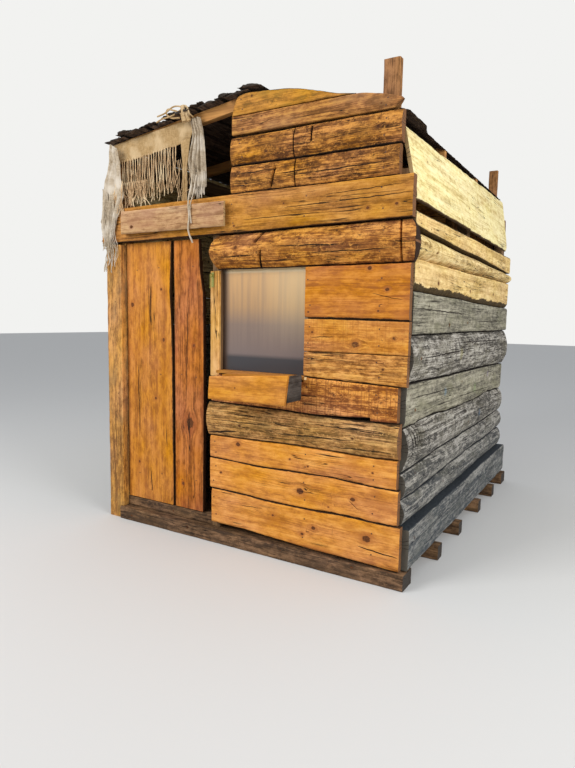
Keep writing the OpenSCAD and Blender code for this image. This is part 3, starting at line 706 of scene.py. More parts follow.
    heart_c = float(np.median(middle)) + 0.02 * math.sin(seed)
    heart_n = shape["depth"] - heart
    cap_maps = [[(flat[i, 1] - heart_c, flat[i, 2] - heart_n) for i in face] for face in caps]
    value = tone if tone is not None else float(cell_value(np.int64(seed), np.int64(7), 3))
    knots = scattered_knots(shape, seed) if knots is None else knots
    return {"points": points, "faces": faces + [tuple(face) for face in caps],
            "maps": corner_maps + cap_maps, "slots": [0] * len(faces) + [1] * len(caps),
            "rind": flat[:, 4], "cut": flat[:, 5], "edge_light_and_shade": flat[:, 6],
            "tone": np.full(len(points), value), "knot": knot_marks(flat[:, 0], flat[:, 1], knots),
            "crack": crack_marks(flat[:, 0], flat[:, 1], cracks)}


# %% [markdown]
# The boards of one part of the hut become one mesh with two materials, the sawn faces and the cut
# ends. The part's node in the model is then hidden behind it.

# %% From boards to a piece
SHARP_ANGLE = math.radians(38)


def put(name, data):
    """Make an object of some data and link it to the scene."""
    thing = bpy.data.objects.new(name, data)
    scene.collection.objects.link(thing)
    return thing


def build_piece(name, boards, materials):
    """Join grown boards into one object."""
    points = np.concatenate([board["points"] for board in boards])
    faces, maps, slots = [], [], []
    start = 0
    for board in boards:
        faces += [tuple(i + start for i in face) for face in board["faces"]]
        maps += board["maps"]
        own = WOODS[board["wood"]] if board.get("wood") else materials[0]
        if own not in materials:
            materials = [*materials, own]
        slots += [slot or materials.index(own) for slot in board["slots"]]
        start += len(board["points"])
    mesh = bpy.data.meshes.new(name)
    mesh.from_pydata(points.tolist(), [], faces)
    layer = mesh.uv_layers.new(name="grain")
    layer.data.foreach_set("uv", np.array([uv for face in maps for uv in face], np.float32).ravel())
    for key in ("rind", "tone", "cut", "edge_light_and_shade"):
        marks = mesh.attributes.new(key, "FLOAT", "POINT")
        marks.data.foreach_set("value", np.concatenate([board[key] for board in boards]).astype(np.float32))
    for key in ("knot", "crack"):
        marks = mesh.attributes.new(key, "FLOAT_VECTOR", "POINT")
        together = np.concatenate([board[key] for board in boards]).astype(np.float32)
        marks.data.foreach_set("vector", together.ravel())
    for material in materials:
        mesh.materials.append(material)
    mesh.polygons.foreach_set("material_index", np.array(slots, np.int32))
    mesh.polygons.foreach_set("use_smooth", np.ones(len(faces), bool))
    mesh.set_sharp_from_angle(angle=SHARP_ANGLE)
    mesh.update()
    return put(name, mesh)


def wear(node, material):
    """Give a node of the model one material."""
    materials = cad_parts[node].data.materials
    materials.clear()
    materials.append(material)


def stand_for(piece, *nodes, body="hut"):
    """Let a piece take the place of nodes of the model, and join it to a body."""
    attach(piece, body)
    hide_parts(*nodes)
    print(piece.name, "triangles:", sum(len(p.vertices) - 2 for p in piece.data.polygons))


def dress(node, word, boards, wood, end="warm", body="hut"):
    """Join a node's boards in one wood with its cut ends, and let them stand for the node."""
    stand_for(build_piece(node + "_" + word, boards, [WOODS[wood], ENDS[end]]), node, body=body)


def boards_of(node, side, looks, first_seed, sort_by=2, **common):
    """Grow every solid of a node; looks are listed from the lowest board up."""
    axes = SIDES[side]
    solids = sorted(solids_of(node), key=lambda solid: solid[0][:, sort_by].mean())
    grown = []
    for i, (points, pairs) in enumerate(solids):
        look = {**common, **(looks[i] if i < len(looks) else looks[-1])}
        wood = look.pop("wood", None)
        shape = outline(points, pairs, axes)
        grown.append({**grow_board(shape, axes, first_seed + i * 3, **look),
                      "wood": wood, "shape": shape, "axes": axes})
    return grown


# %% [markdown]
# The front wall, from the ground up. The three lower boards are sawn flat and keep the wavy edge of
# the tree, so their edges are worn back and carry a rim of bark. Above them lies a slab with its
# round side out, and the waist board behind the counter.

# %% Front wall, below the window
lower = boards_of("front_lower_boards", "front", [
    {"wane": (0.004, 0.008), "rind": (0.0, 0.004), "tone": 0.5,
     "knots": ((0.955, 0.262, 0.022), (0.52, 0.20, 0.010), (0.30, 0.28, 0.007), (0.60, 0.255, 0.013)),
     "cracks": ((0.90, 1.15, 0.205, 0.185, 0.9), (0.05, 0.22, 0.30, 0.31, 0.5))},
    {"wane": (0.010, 0.006), "rind": (0.005, 0.002), "tone": 0.62,
     "knots": ((0.50, 0.475, 0.021), (0.86, 0.485, 0.014), (-0.12, 0.50, 0.008), (0.70, 0.41, 0.005)),
     "cracks": ((0.84, 0.90, 0.47, 0.43, 0.5),)},
    {"wane": (0.006, 0.006), "rind": (0.003, 0.0), "tone": 0.6,
     "knots": ((0.02, 0.712, 0.015), (0.42, 0.668, 0.006), (0.98, 0.665, 0.006), (0.55, 0.640, 0.006))},
], 3, step=0.010)
dress("front_lower_boards", "sawn", lower, "honey_pine")
slab = boards_of("front_bark_slab", "front", [
    {"wane": (0.010, 0.010), "rind": (0.010, 0.006), "relief": 0.006, "tone": 0.55,
     "knots": ((0.05, 0.845, 0.010), (0.86, 0.86, 0.008)),
     "cracks": ((-0.222, 0.02, 0.770, 0.802, 1.5), (0.0, 0.45, 0.900, 0.885, 0.8),
                (0.35, 0.85, 0.830, 0.845, 0.9), (0.6, 1.05, 0.915, 0.905, 0.7),
                (-0.1, 0.3, 0.865, 0.872, 0.6), (0.7, 1.1, 0.79, 0.80, 0.8))}], 12, step=0.009, rows=30)
dress("front_bark_slab", "round", slab, "barky_slab")
waist = boards_of("front_waist_board", "front", [
    {"wane": (0.006, 0.004), "rind": (0.004, 0.0), "relief": 0.003, "tone": 0.6, "round_off": 0.006,
     "knots": ((0.72, 1.10, 0.008),), "notches": ((0.60, 0.955, 0.020),)}], 15, step=0.010)
dress("front_waist_board", "sawn", waist, "wormy_pine")

# %% [markdown]
# Beside the window three short boards are nailed on, and over it lies a log slab with deep cuts across
# it. The long lintel plank crosses the whole front, and two slabs and two boards fill the gable.

# %% Front wall, beside and over the window
side_looks = [
    {"wane": (0.010, 0.004), "rind": (0.005, 0.0), "tone": 0.5, "wood": "layered_pine", "relief": 0.004,
     "knots": ((0.56, 1.31, 0.006), (1.02, 1.27, 0.007))},
    {"wane": (0.004, 0.004), "rind": (0.0, 0.003), "tone": 0.6, "wood": "fleck_pine",
     "knots": ((0.845, 1.405, 0.019), (0.56, 1.47, 0.007), (1.08, 1.45, 0.008)),
     "cracks": ((0.55, 0.70, 1.44, 1.445, 0.5),)},
    {"wane": (0.012, 0.004), "rind": (0.007, 0.0), "tone": 0.5,
     "knots": ((0.92, 1.84, 0.012), (1.03, 1.72, 0.011), (0.53, 1.59, 0.006), (0.98, 1.60, 0.006)),
     "cracks": ((0.94, 1.12, 1.70, 1.66, 0.4),)},
]
side_boards = boards_of("window_side_boards", "front", side_looks, 21, step=0.009)
dress("window_side_boards", "sawn", side_boards, "orange_pine")
over = boards_of("front_log_slab", "front", [
    {"wane": (0.008, 0.008), "rind": (0.008, 0.006), "relief": 0.006, "tone": 0.6, "round_off": 0.006,
     "kerfs": ({"s": 1.095, "depth": 0.05, "width": 0.008, "lean": -0.05, "bow": 0.02},
               {"s": 0.21, "depth": 0.03, "width": 0.011, "lean": 0.15, "part": (-1.0, -0.1)},
               {"s": 0.14, "depth": 0.04, "width": 0.015, "lean": 0.5, "part": (0.35, 1.0)}),
     "knots": ((0.02, 1.99, 0.012), (0.62, 1.95, 0.009)),
     "cracks": ((0.30, 0.75, 1.985, 1.975, 0.8), (0.55, 1.05, 1.935, 1.940, 0.7),
                (-0.1, 0.15, 1.93, 1.94, 0.8))}], 31, step=0.009, rows=30)
dress("front_log_slab", "round", over, "amber_log")
lintel = boards_of("lintel_plank", "front", [
    {"wane": (0.005, 0.004), "rind": (0.003, 0.0), "tone": 0.6,
     "knots": ((0.90, 2.17, 0.009), (1.07, 2.18, 0.008), (0.35, 2.24, 0.006), (-0.02, 2.13, 0.007)),
     "cracks": ((0.35, 1.16, 2.215, 2.235, 0.7), (0.05, 0.60, 2.165, 2.170, 0.5),
                (0.62, 1.10, 2.265, 2.285, 0.5))}], 34, step=0.012)
dress("lintel_plank", "sawn", lintel, "sunned_plank")
gable = boards_of("gable_boards", "front", [
    {"wane": (0.008, 0.006), "rind": (0.006, 0.004), "relief": 0.005, "tone": 0.5,
     "kerfs": ({"s": 0.27, "depth": 0.03, "width": 0.012, "lean": 0.3, "part": (-0.8, 0.5)},
               {"s": 0.42, "depth": 0.012, "width": 0.007}),
     "cracks": ((0.45, 1.0, 2.40, 2.41, 0.8), (0.0, 0.3, 2.45, 2.45, 0.6))},
    {"wane": (0.008, 0.006), "rind": (0.006, 0.004), "relief": 0.005, "tone": 0.45,
     "kerfs": ({"s": 0.41, "depth": 0.010, "width": 0.007},
               {"s": 0.53, "depth": 0.016, "width": 0.009, "part": (-0.2, 0.9)}),
     "knots": ((0.95, 2.60, 0.011), (0.22, 2.56, 0.008))},
    {"wane": (0.004, 0.002), "rind": (0.0, 0.0), "tone": 0.7, "wood": "long_pine"},
    {"wane": (0.002, 0.010), "rind": (0.0, 0.004), "relief": 0.003, "tone": 0.7, "wood": "olive_slab"}],
    37, step=0.010)
dress("gable_boards", "round", gable, "gnawed_slab")

# %% [markdown]
# The right wall is silver-grey where the weather has had it longest, with some grime and a
# blue-grey painted shade darkening it towards the ground, and straw-pale at the top, where newer
# offcuts were nailed on. Three of its rows are half logs with cracks round them.

# %% Right wall
right_grey = {"relief": 0.004, "wane": (0.008, 0.008), "rind": (0.004, 0.004), "step": 0.014}
log_end_cracks = tuple({"s": -1.347 + 0.050 * k, "depth": 0.022, "width": 0.012, "lean": 0.1, "bow": 0.03}
                       for k in range(1, 6))
right_low = boards_of("right_lower_slabs", "right", [
    {"tone": 0.35, "cracks": ((-1.2, 0.2, 0.25, 0.24, 0.8), (-0.4, 1.2, 0.17, 0.18, 0.8))},
    {"tone": 0.75, "relief": 0.007}, {"tone": 0.45, "relief": 0.007},
    {"tone": 0.5, "relief": 0.007, "kerfs": log_end_cracks}], 51, **right_grey)
dress("right_lower_slabs", "grey", right_low, "silver_log", "grey")
right_mid = boards_of("right_middle_boards", "right", [
    {"tone": 0.85, "wane": (0.02, 0.006), "wood": "silver_board",
     "cracks": ((-1.25, -0.3, 1.10, 1.08, 0.7), (-0.2, 0.9, 1.00, 0.98, 0.7))},
    {"tone": 0.6, "relief": 0.007, "cracks": ((-1.2, 0.1, 1.33, 1.35, 1.0), (-0.3, 1.0, 1.40, 1.39, 1.0))},
    {"tone": 0.7, "wood": "silver_board",
     "cracks": ((-1.3, -0.1, 1.62, 1.60, 0.8), (0.2, 1.2, 1.55, 1.56, 0.7))}], 63, **right_grey)
dress("right_middle_boards", "grey", right_mid, "silver_log", "grey")
right_up = boards_of("right_upper_boards", "right", [
    {"tone": 0.75, "wane": (0.02, 0.005), "rind": (0.045, 0.0), "wood": "waney_spruce",
     "knots": ((-0.9, 1.78, 0.014), (-0.1, 1.77, 0.012), (0.7, 1.78, 0.012))},
    {"tone": 0.8, "relief": 0.006, "rind": (0.004, 0.004),
     "kerfs": tuple({"s": place, "depth": 0.03, "width": 0.016, "lean": 0.2, "bow": 0.04}
                    for place in (-1.29, -1.18, -1.02, -0.72, -0.3, 0.1, 0.45, 0.8))},
    {"tone": 0.95, "wane": (0.006, 0.006), "rind": (0.004, 0.008), "wood": "waney_spruce"}],
    75, step=0.014, relief=0.003)
dress("right_upper_boards", "straw", right_up, "straw_log", "pale")

# %% [markdown]
# The left and back walls repeat the same build with fewer marks, grey below and pale above.

# %% Left and back walls
plain = {"relief": 0.005, "wane": (0.010, 0.008), "rind": (0.010, 0.008), "step": 0.024, "rows": 14,
         "ragged": 0.0}
far_walls = []
for node, side, wood, end, seed in (
        ("left_lower_boards", "left", "silver_board", "grey", 90),
        ("left_upper_boards", "left", "straw_log", "pale", 110),
        ("back_lower_boards", "back", "silver_board", "grey", 130),
        ("back_upper_boards", "back", "streaky_pine", "warm", 150)):
    far_walls.append(boards_of(node, side, [{}], seed, **plain))
    dress(node, "waney", far_walls[-1], wood, end)

# %% [markdown]
# The top plank of the right wall leans inwards, and the roof slabs lie on their slopes. Their
# directions are turned to match, so the same function grows them.

# %% Leaning plank and roof slabs
LEAN_IN = math.radians(12.5)
LEFT_SLOPE = math.radians(7.2)
RIGHT_SLOPE = math.radians(15.0)
CAP_SLOPE = math.radians(4.2)
RIDGE_X = 0.1


def sloped_boards(node, axes, look, seed, keep=lambda points: True):
    """Grow the solids of a node that lie on one slope."""
    solids = sorted(solids_of(node), key=lambda solid: solid[0][:, 0].mean())
    grown = []
    for i, (points, pairs) in enumerate(solids):
        if keep(points):
            grown.append(grow_board(outline(points, pairs, axes), axes, seed + i * 3, **look))
    return grown


lean_axes = directions((0, 1, 0), (-math.sin(LEAN_IN), 0, math.cos(LEAN_IN)),
                       (math.cos(LEAN_IN), 0, math.sin(LEAN_IN)))
top_plank = sloped_boards("right_top_plank", lean_axes,
                          {"step": 0.014, "relief": 0.002, "wane": (0.012, 0.008),
                           "rind": (0.006, 0.004), "tone": 0.8}, 171)
dress("right_top_plank", "pale", top_plank, "pale_spruce", "pale")


def slope_axes(angle):
    """Return the directions of a slab that falls to the right at an angle."""
    return directions((0, 1, 0), (math.cos(angle), 0, -math.sin(angle)),
                      (math.sin(angle), 0, math.cos(angle)))


bark_look = {"step": 0.021, "rows": 16, "relief": 0.011, "wane": (0.006, 0.006), "knots": (),
             "rind": (0.02, 0.02), "rough_end": 0.03, "heart": 0.3, "ragged": 0.012}
for node, seed in (("roof_under_slabs", 200), ("roof_over_slabs", 250)):
    left = sloped_boards(node, slope_axes(-LEFT_SLOPE), bark_look, seed,
                         lambda points: points[:, 0].mean() < RIDGE_X)
    right = sloped_boards(node, slope_axes(RIGHT_SLOPE), bark_look, seed + 17,
                          lambda points: points[:, 0].mean() > RIDGE_X)
    dress(node, "bark", left + right, "roof_bark", "dark")
cap = sloped_boards("ridge_cap_slab", slope_axes(CAP_SLOPE), bark_look, 290)
dress("ridge_cap_slab", "bark", cap, "roof_bark", "dark")

# %% [markdown]
# The door is two planks with a gap between them. Their long edges are the tree's own.

# %% Door planks
door_look = {"step": 0.012, "rows": 22, "relief": 0.0015, "wane": (0.003, 0.003), "rough_end": 0.002}
wide = boards_of("door_wide_plank", "upright", [{"tone": 0.65, "rind": (0.0, 0.003),
    "knots": ((1.63, -0.985, 0.016), (1.74, -0.70, 0.009), (0.95, -0.76, 0.009), (0.45, -0.93, 0.009),
              (1.38, -0.68, 0.012)),
    "cracks": ((0.20, 0.42, -0.80, -0.815, 1.0), (1.50, 1.78, -0.805, -0.80, 1.3),
               (0.6, 1.2, -0.93, -0.925, 0.5))}], 301, **door_look)
dress("door_wide_plank", "sawn", wide, "door_pine", body="door")
narrow = boards_of("door_narrow_plank", "upright", [{"tone": 0.55, "rind": (0.003, 0.003),
    "knots": ((0.80, -0.435, 0.034), (1.35, -0.40, 0.009), (0.35, -0.50, 0.010)),
    "cracks": ((0.95, 1.75, -0.47, -0.45, 0.7), (0.18, 0.6, -0.39, -0.40, 0.6))}], 305, **door_look)
dress("door_narrow_plank", "sawn", narrow, "red_larch", body="door")

# %% [markdown]
# The posts, the sill beam, the joists and the small boards are plain timbers with lightly worn edges.

# %% Posts, sill beam and small boards
timber = {"relief": 0.002, "wane": (0.004, 0.004), "step": 0.03, "rows": 10, "rough_end": 0.002}
for node, side, wood, end, seed, body in (
        ("post_front_right", "upright", "new_post", "warm", 324, "hut"),
        ("rear_posts", "upright", "new_post", "warm", 327, "hut"),
        ("front_sill_beam", "front", "sill_oak", "dark", 345, "hut"),
        ("floor_joists", "front", "sill_oak", "dark", 348, "hut"),
        ("door_sill", "front", "sill_oak", "dark", 370, "hut"),
        ("window_batten", "upright", "batten_pine", "warm", 372, "hut"),
        # the counter box's dark grey is partly painted shade
        ("counter_box", "right", "grey_end_painted_shade", "dark", 380, "hut"),
        ("door_ledges", "front", "inner_board", "warm", 384, "door")):
    dress(node, "worn", boards_of(node, side, [{}], seed, **timber), wood, end, body)

# %% [markdown]
# Three pieces of the model have steps in them, so one outline doesn't describe them. Each is put
# together from plain boxes that meet: the corner post, the counter, and the sign with its spacers.

# %% Corner post, counter and sign
def box_shape(low, high, axes):
    """Describe a plain box, in metres, as an outline along board directions."""
    corners = np.array([low, high])
    s, c, n = (np.sort(corners @ axis) for axis in axes)
    lines = (np.array([[s[0], s[1]], [s[0], s[1]]]), np.array([[c[0], c[0]], [c[1], c[1]]]))
    depth = n[1] - n[0]
    return {"s0": s[0], "s1": s[1], "n0": n[0], "depth": depth, "edge_depth": depth, "ends": lines}


def box_board(low, high, side, seed, **look):
    """Grow a board on a plain box."""
    return grow_board(box_shape(low, high, SIDES[side]), SIDES[side], seed, **look)


# The corner post is stepped: the part in front of the wall boards ends under the lintel plank, and
# its foot is narrower, beside the sill beam.
post_low, post_high = (np.array(corner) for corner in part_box("post_front_left"))
POST_FRONT, POST_STEP, POST_BACK = -1.400, -1.350, -1.255
FOOT_RIGHT = -1.074
CORNER_POST = [((post_low[0], POST_FRONT, 0.0955), (post_high[0], POST_BACK, 2.063)),
               ((post_low[0], POST_STEP, 2.0632), (post_high[0], POST_BACK, post_high[2])),
               ((post_low[0], POST_FRONT, 0.0), (FOOT_RIGHT, POST_BACK, 0.0953))]
post_look = {**timber, "step": 0.012, "rows": 20, "relief": 0.003, "rough_end": 0.0}
post_parts = [box_board(low, high, "upright", 321, **post_look) for low, high in CORNER_POST]
dress("post_front_left", "worn", post_parts, "post_wood")

# The counter: a shelf in the window's foot, a small tab at its right end, and the board in front.
front_board = min(solids_of("counter_board"), key=lambda solid: solid[0][:, 1].mean())
SHELF_UNDER, SHELF_TOP = 1.180, 1.198
WALL_FACE = -1.402
SHELF = [((-0.159, WALL_FACE), (0.503, -1.310)), ((0.043, -1.5997), (0.500, WALL_FACE)),
         ((0.500, -1.432), (0.534, WALL_FACE))]
shelf_look = {**timber, "relief": 0.0006, "wane": (0.001, 0.001), "rough_end": 0.0}
counter_parts = [box_board((*low, SHELF_UNDER), (*high, SHELF_TOP), "flat", 391, **shelf_look)
                 for low, high in SHELF]
counter_parts.append(grow_board(outline(*front_board, SIDES["front"]), SIDES["front"], 395, step=0.004,
                                rows=18, relief=0.0012, wane=(0.002, 0.002), rough_end=0.001,
                                round_off=0.004, tone=0.7))
dress("counter_board", "honey", counter_parts, "counter_pine", "fresh")

sign_low, sign_high = (np.array(corner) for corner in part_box("sign_board"))
SIGN_THICK = 0.020
SPACER_START = 0.0203
SPACER_WIDE = 0.040
SPACER_FOOT, SPACER_TOP = 2.150, 2.260
sign_back = sign_low[1] + SIGN_THICK
sign_parts = [box_board(sign_low, (sign_high[0], sign_back, sign_high[2]), "front", 375, **timber)]
for x in (-0.900, -0.220):
    low = (x, sign_low[1] + SPACER_START, SPACER_FOOT)
    high = (x + SPACER_WIDE, sign_high[1], SPACER_TOP)
    sign_parts.append(box_board(low, high, "front", 377, **timber))
dress("sign_board", "bare", sign_parts, "sign_pine", "pale")

# %% [markdown]
# The other timbers stay as the model has them, and get a wood that reads object coordinates.

# %% Plain materials for what stays
def plain_wood(name, pale, dark, direction):
    """Make rough timber whose grain runs along one axis of the hut."""
    material, tree = new_material(name)
    scale = [55.0, 55.0, 55.0]
    scale[direction] = 2.5
    grain = add(tree, "ShaderNodeMapping", None, {"Vector": object_place(tree), "Scale": tuple(scale)})
    streaks = add(tree, "ShaderNodeTexNoise", None,
                  {"Vector": grain, "Scale": 1.0, "Detail": 5.0, "Roughness": 0.6})
    colour = colour_stops(tree, streaks, ((0.3, dark), (0.7, pale)))
    finish_material(tree, colour, 0.85, streaks, 0.0015)
    return material


frame_along = [plain_wood("frame_timber_" + axis, "#8d6a43", "#523b24", i) for i, axis in enumerate("xyz")]
for node, direction in (("side_studs", 2), ("front_studs", 2), ("gable_studs", 2), ("front_header", 0),
                        ("wall_plates", 1), ("ridge_beam", 1), ("rafters", 0), ("floor_boards", 1)):
    wear(node, frame_along[direction])
wear("rafters", plain_wood("rafter_timber", "#cf9650", "#935f2e", 0))

# %% [markdown]
# The cloth in the gable is an old piece of loosely woven linen. Its top is still whole and is tied
# along the roof, its foot has frayed into hanging threads, and at the right it is gathered into one
# heavy fall. The whole parts are sheets: a grid between an upper and a lower line, pushed in and out
# in pleats, two millimetres thick.

# %% Linen and hung sheets
def linen_cloth(name, pale, mid, dark):
    """Make loosely woven linen: fine crossing threads, thin places and greyish soiling."""
    material, tree = new_material(name)
    place = object_place(tree)
    soil = add(tree, "ShaderNodeTexNoise", None, {"Vector": place, "Scale": 9.0, "Detail": 4.0})
    upright = add(tree, "ShaderNodeMapping", None, {"Vector": place, "Scale": (420.0, 420.0, 30.0)})
    warp = add(tree, "ShaderNodeTexNoise", None, {"Vector": upright, "Scale": 1.0, "Detail": 2.0})
    level = add(tree, "ShaderNodeMapping", None, {"Vector": place, "Scale": (24.0, 60.0, 420.0)})
    weft = add(tree, "ShaderNodeTexNoise", None, {"Vector": level, "Scale": 1.0, "Detail": 2.0})
    weave = calc(tree, "MULTIPLY_ADD", warp, 0.6, calc(tree, "MULTIPLY", weft, 0.4))
    colour = blend(tree, ease(tree, weave, 0.36, 0.64), linear(dark), linear(mid))
    colour = blend(tree, ease(tree, soil, 0.42, 0.66, 0.8), colour, linear(pale))
    finish_material(tree, colour, 0.95, weave, 0.0012, Specular_IOR_Level=0.1)
    return material


def hung_sheet(name, left, right, folds, depth, material, columns=72, rows=30, thick=0.002):
    """Make a sheet between a left and a right border line, each given as (x, z) points from the top."""
    share = np.linspace(0, 1, rows)
    borders = []
    for line in (left, right):
        marks = np.linspace(0, 1, len(line))
        borders.append([np.interp(share, marks, [point[i] for point in line]) for i in (0, 1)])
    u = np.linspace(0, 1, columns)[:, None]
    x = borders[0][0] * (1 - u) + borders[1][0] * u
    z = borders[0][1] * (1 - u) + borders[1][1] * u
    count, deep, seed = folds
    v = share[None, :]
    wave = np.sin(2 * math.pi * count * u + 2.2 * fractal(u * 3, v * 2, seed))
    y = depth - deep * (0.35 + 0.65 * v) * wave + 0.6 * deep * fractal(u * 9, v * 7, seed + 5)
    z = z + 0.008 * fractal(u * 14, 0.5, seed + 9) * v
    front = np.stack([x, y, z], -1)
    back = front + (0, thick, 0)
    mesh = bpy.data.meshes.new(name)
    grid = np.arange(columns * rows).reshape(columns, rows)
    far = grid + columns * rows
    faces = [(a, b, c, d) for a, b, c, d in zip(grid[:-1, :-1].ravel(), grid[:-1, 1:].ravel(),
                                                grid[1:, 1:].ravel(), grid[1:, :-1].ravel())]
    faces += [(a, d, c, b) for a, b, c, d in zip(far[:-1, :-1].ravel(), far[:-1, 1:].ravel(),
                                                 far[1:, 1:].ravel(), far[1:, :-1].ravel())]
    rim = np.concatenate([grid[:-1, 0], grid[-1, :-1], grid[:0:-1, -1], grid[0, :0:-1]])
    rim_far = rim + columns * rows
    faces += [(a, b, c, d) for a, b, c, d in zip(rim, np.roll(rim, -1), np.roll(rim_far, -1), rim_far)]
    points = np.concatenate([front.reshape(-1, 3), back.reshape(-1, 3)])
    mesh.from_pydata(points.tolist(), [], [tuple(int(i) for i in face) for face in faces])
    mesh.materials.append(material)
    mesh.polygons.foreach_set("use_smooth", np.ones(len(faces), bool))
    piece = put(name, mesh)
    shape = bmesh.new()
    shape.from_mesh(mesh)
    bmesh.ops.recalc_face_normals(shape, faces=shape.faces)
    shape.to_mesh(mesh)
    shape.free()
    print(name, "one side:", round(sum(p.area for p in mesh.polygons) / 2, 3), "m2")
    return piece


tan_linen = linen_cloth("linen_tan", "#cdb28a", "#c0a073", "#977a50")
grey_linen = linen_cloth("linen_greyed", "#d8cdbd", "#c4b39b", "#93826a")
# The threads are painted paler than the cloth: painted light that lifts them out of the shade under the
# roof.
thread_linen = linen_cloth("linen_thread_painted_light", "#f2dcb4", "#dfc096", "#b08a62")
band = hung_sheet("cloth_band", [(-1.135, 2.780), (-1.075, 2.643)], [(-0.350, 2.862), (-0.420, 2.712)],
                  (6, 0.005, 3), -1.366, tan_linen, columns=96, rows=18)
strip = hung_sheet("cloth_strip", [(-0.480, 2.722), (-0.468, 2.560), (-0.472, 2.315)],
                   [(-0.400, 2.730), (-0.428, 2.560), (-0.430, 2.310)], (1, 0.006, 9), -1.380,
                   tan_linen, columns=14)
fall = hung_sheet("cloth_fall", [(-0.395, 2.846), (-0.372, 2.730), (-0.415, 2.580), (-0.375, 2.400)],
                  [(-0.315, 2.850), (-0.288, 2.770), (-0.272, 2.600), (-0.262, 2.400)], (4, 0.015, 14),
                  -1.386, grey_linen, columns=64)
corner = hung_sheet("cloth_corner",
                    [(-1.115, 2.775), (-1.118, 2.650), (-1.170, 2.525), (-1.195, 2.400),
                     (-1.205, 2.285), (-1.210, 2.170), (-1.165, 2.050)],
                    [(-1.045, 2.735), (-1.022, 2.640), (-1.008, 2.520), (-0.985, 2.400),
                     (-1.035, 2.290), (-1.075, 2.180), (-1.115, 2.060)],
                    (3, 0.010, 19), -1.420, grey_linen, columns=34, rows=40)

# %% [markdown]
# The frayed threads are made with Geometry Nodes. A straight line of points is set out for each
# thread along the cloth's edge, a noise that grows downwards makes them sway and tangle, and a thin
# tube with a few sides runs along each. The same tree makes the foot's fringe, the wisps at the left
# corner and the threads under the gathered fall.

# %% Threads
JOINTS = 17


def group_tree(name, inputs):
    """Start a Geometry Nodes tree with named inputs, and return it with those inputs."""
    tree = bpy.data.node_groups.new(name, "GeometryNodeTree")
    tree.interface.new_socket("Geometry", in_out="OUTPUT", socket_type="NodeSocketGeometry")
    for label, kind in inputs.items():
        tree.interface.new_socket(label, in_out="INPUT", socket_type="NodeSocket" + kind)
    return tree, add(tree, "NodeGroupInput", out=None).outputs


def threads_tree():
    """Build the node tree that hangs threads from a line."""
    tree, given = group_tree("hanging_threads", {
        "Start": "Vector", "End": "Vector", "Count": "Int", "Length": "Float", "Radius": "Float",
        "Sway": "Float", "Seed": "Int", "Material": "Material"})
    line = add(tree, "GeometryNodeMeshLine", None,
               {"Count": JOINTS, "Offset": (0.0, 0.0, -1.0 / (JOINTS - 1))})
    drop = calc(tree, "DIVIDE", add(tree, "GeometryNodeInputIndex"), float(JOINTS - 1))
    line = add(tree, "GeometryNodeStoreNamedAttribute", {"data_type": "FLOAT"},
               {"Geometry": line, "Name": "drop", "Value": drop})
    share = calc(tree, "DIVIDE", add(tree, "GeometryNodeInputIndex"), given["Count"])
    start = add(tree, "ShaderNodeMix", {"data_type": "VECTOR"},
                {"Factor": share, 4: given["Start"], 5: given["End"]}, out=1)
    starts = add(tree, "GeometryNodePoints", None, {"Count": given["Count"], "Position": start})
    long = add(tree, "FunctionNodeRandomValue", {"data_type": "FLOAT"},
               {2: 0.72, 3: 1.0, "Seed": given["Seed"]}, out=1)
    size = add(tree, "ShaderNodeCombineXYZ", None,
               {"X": 1.0, "Y": 1.0, "Z": calc(tree, "MULTIPLY", long, given["Length"])})
    hung = add(tree, "GeometryNodeInstanceOnPoints", None,
               {"Points": starts, "Instance": line, "Scale": size})
    hung = add(tree, "GeometryNodeRealizeInstances", None, {"Geometry": hung})
    place = add(tree, "GeometryNodeInputPosition")
    spread = vector(tree, "MULTIPLY", place, (34.0, 9.0, 6.0))
    spread = vector(tree, "ADD", spread, add(tree, "ShaderNodeCombineXYZ", None, {"Y": given["Seed"]}))
    push = add(tree, "ShaderNodeTexNoise", None, {"Vector": spread, "Scale": 1.0, "Detail": 2.0}, out=1)
    push = vector(tree, "SUBTRACT", push, (0.5, 0.5, 0.5))
    push = vector(tree, "MULTIPLY", push, (1.0, 0.35, 0.25))
    lower = add(tree, "GeometryNodeInputNamedAttribute", {"data_type": "FLOAT"}, {"Name": "drop"})
    amount = calc(tree, "MULTIPLY", calc(tree, "POWER", lower, 0.7), given["Sway"])
    push = add(tree, "ShaderNodeVectorMath", {"operation": "SCALE"}, {0: push, "Scale": amount})
    hung = add(tree, "GeometryNodeSetPosition", None, {"Geometry": hung, "Offset": push})
    curves = add(tree, "GeometryNodeMeshToCurve", None, {"Mesh": hung})
    ring = add(tree, "GeometryNodeCurvePrimitiveCircle", None,
               {"Resolution": 4, "Radius": given["Radius"]})
    tubes = add(tree, "GeometryNodeCurveToMesh", None,
                {"Curve": curves, "Profile Curve": ring, "Fill Caps": True})
    tubes = add(tree, "GeometryNodeRealizeInstances", None, {"Geometry": tubes})
    tubes = add(tree, "GeometryNodeSetMaterial", None, {"Geometry": tubes, "Material": given["Material"]})
    add(tree, "NodeGroupOutput", None, {0: tubes}, out=None)
    return tree


def keep_mesh(name, holder):
    """Keep what an object shows as a plain mesh, and take the object away."""
    mesh = bpy.data.meshes.new_from_object(holder.evaluated_get(bpy.context.evaluated_depsgraph_get()))
    bpy.data.objects.remove(holder)
    return put(name, mesh)


def run_nodes(name, tree, values, points=()):
    """Run a node tree on a few points, or on nothing, and keep what it makes as a plain mesh."""
    holder = put(name + "_holder", bpy.data.meshes.new(name + "_holder"))
    holder.data.from_pydata(points, [], [])
    modifier = holder.modifiers.new("nodes", "NODES")
    modifier.node_group = tree
    for item in tree.interface.items_tree:
        if item.in_out == "INPUT" and item.name in values:
            modifier[item.identifier] = values[item.name]
    piece = keep_mesh(name, holder)
    print(name, "faces:", len(piece.data.polygons))
    return piece


thread_tree = threads_tree()
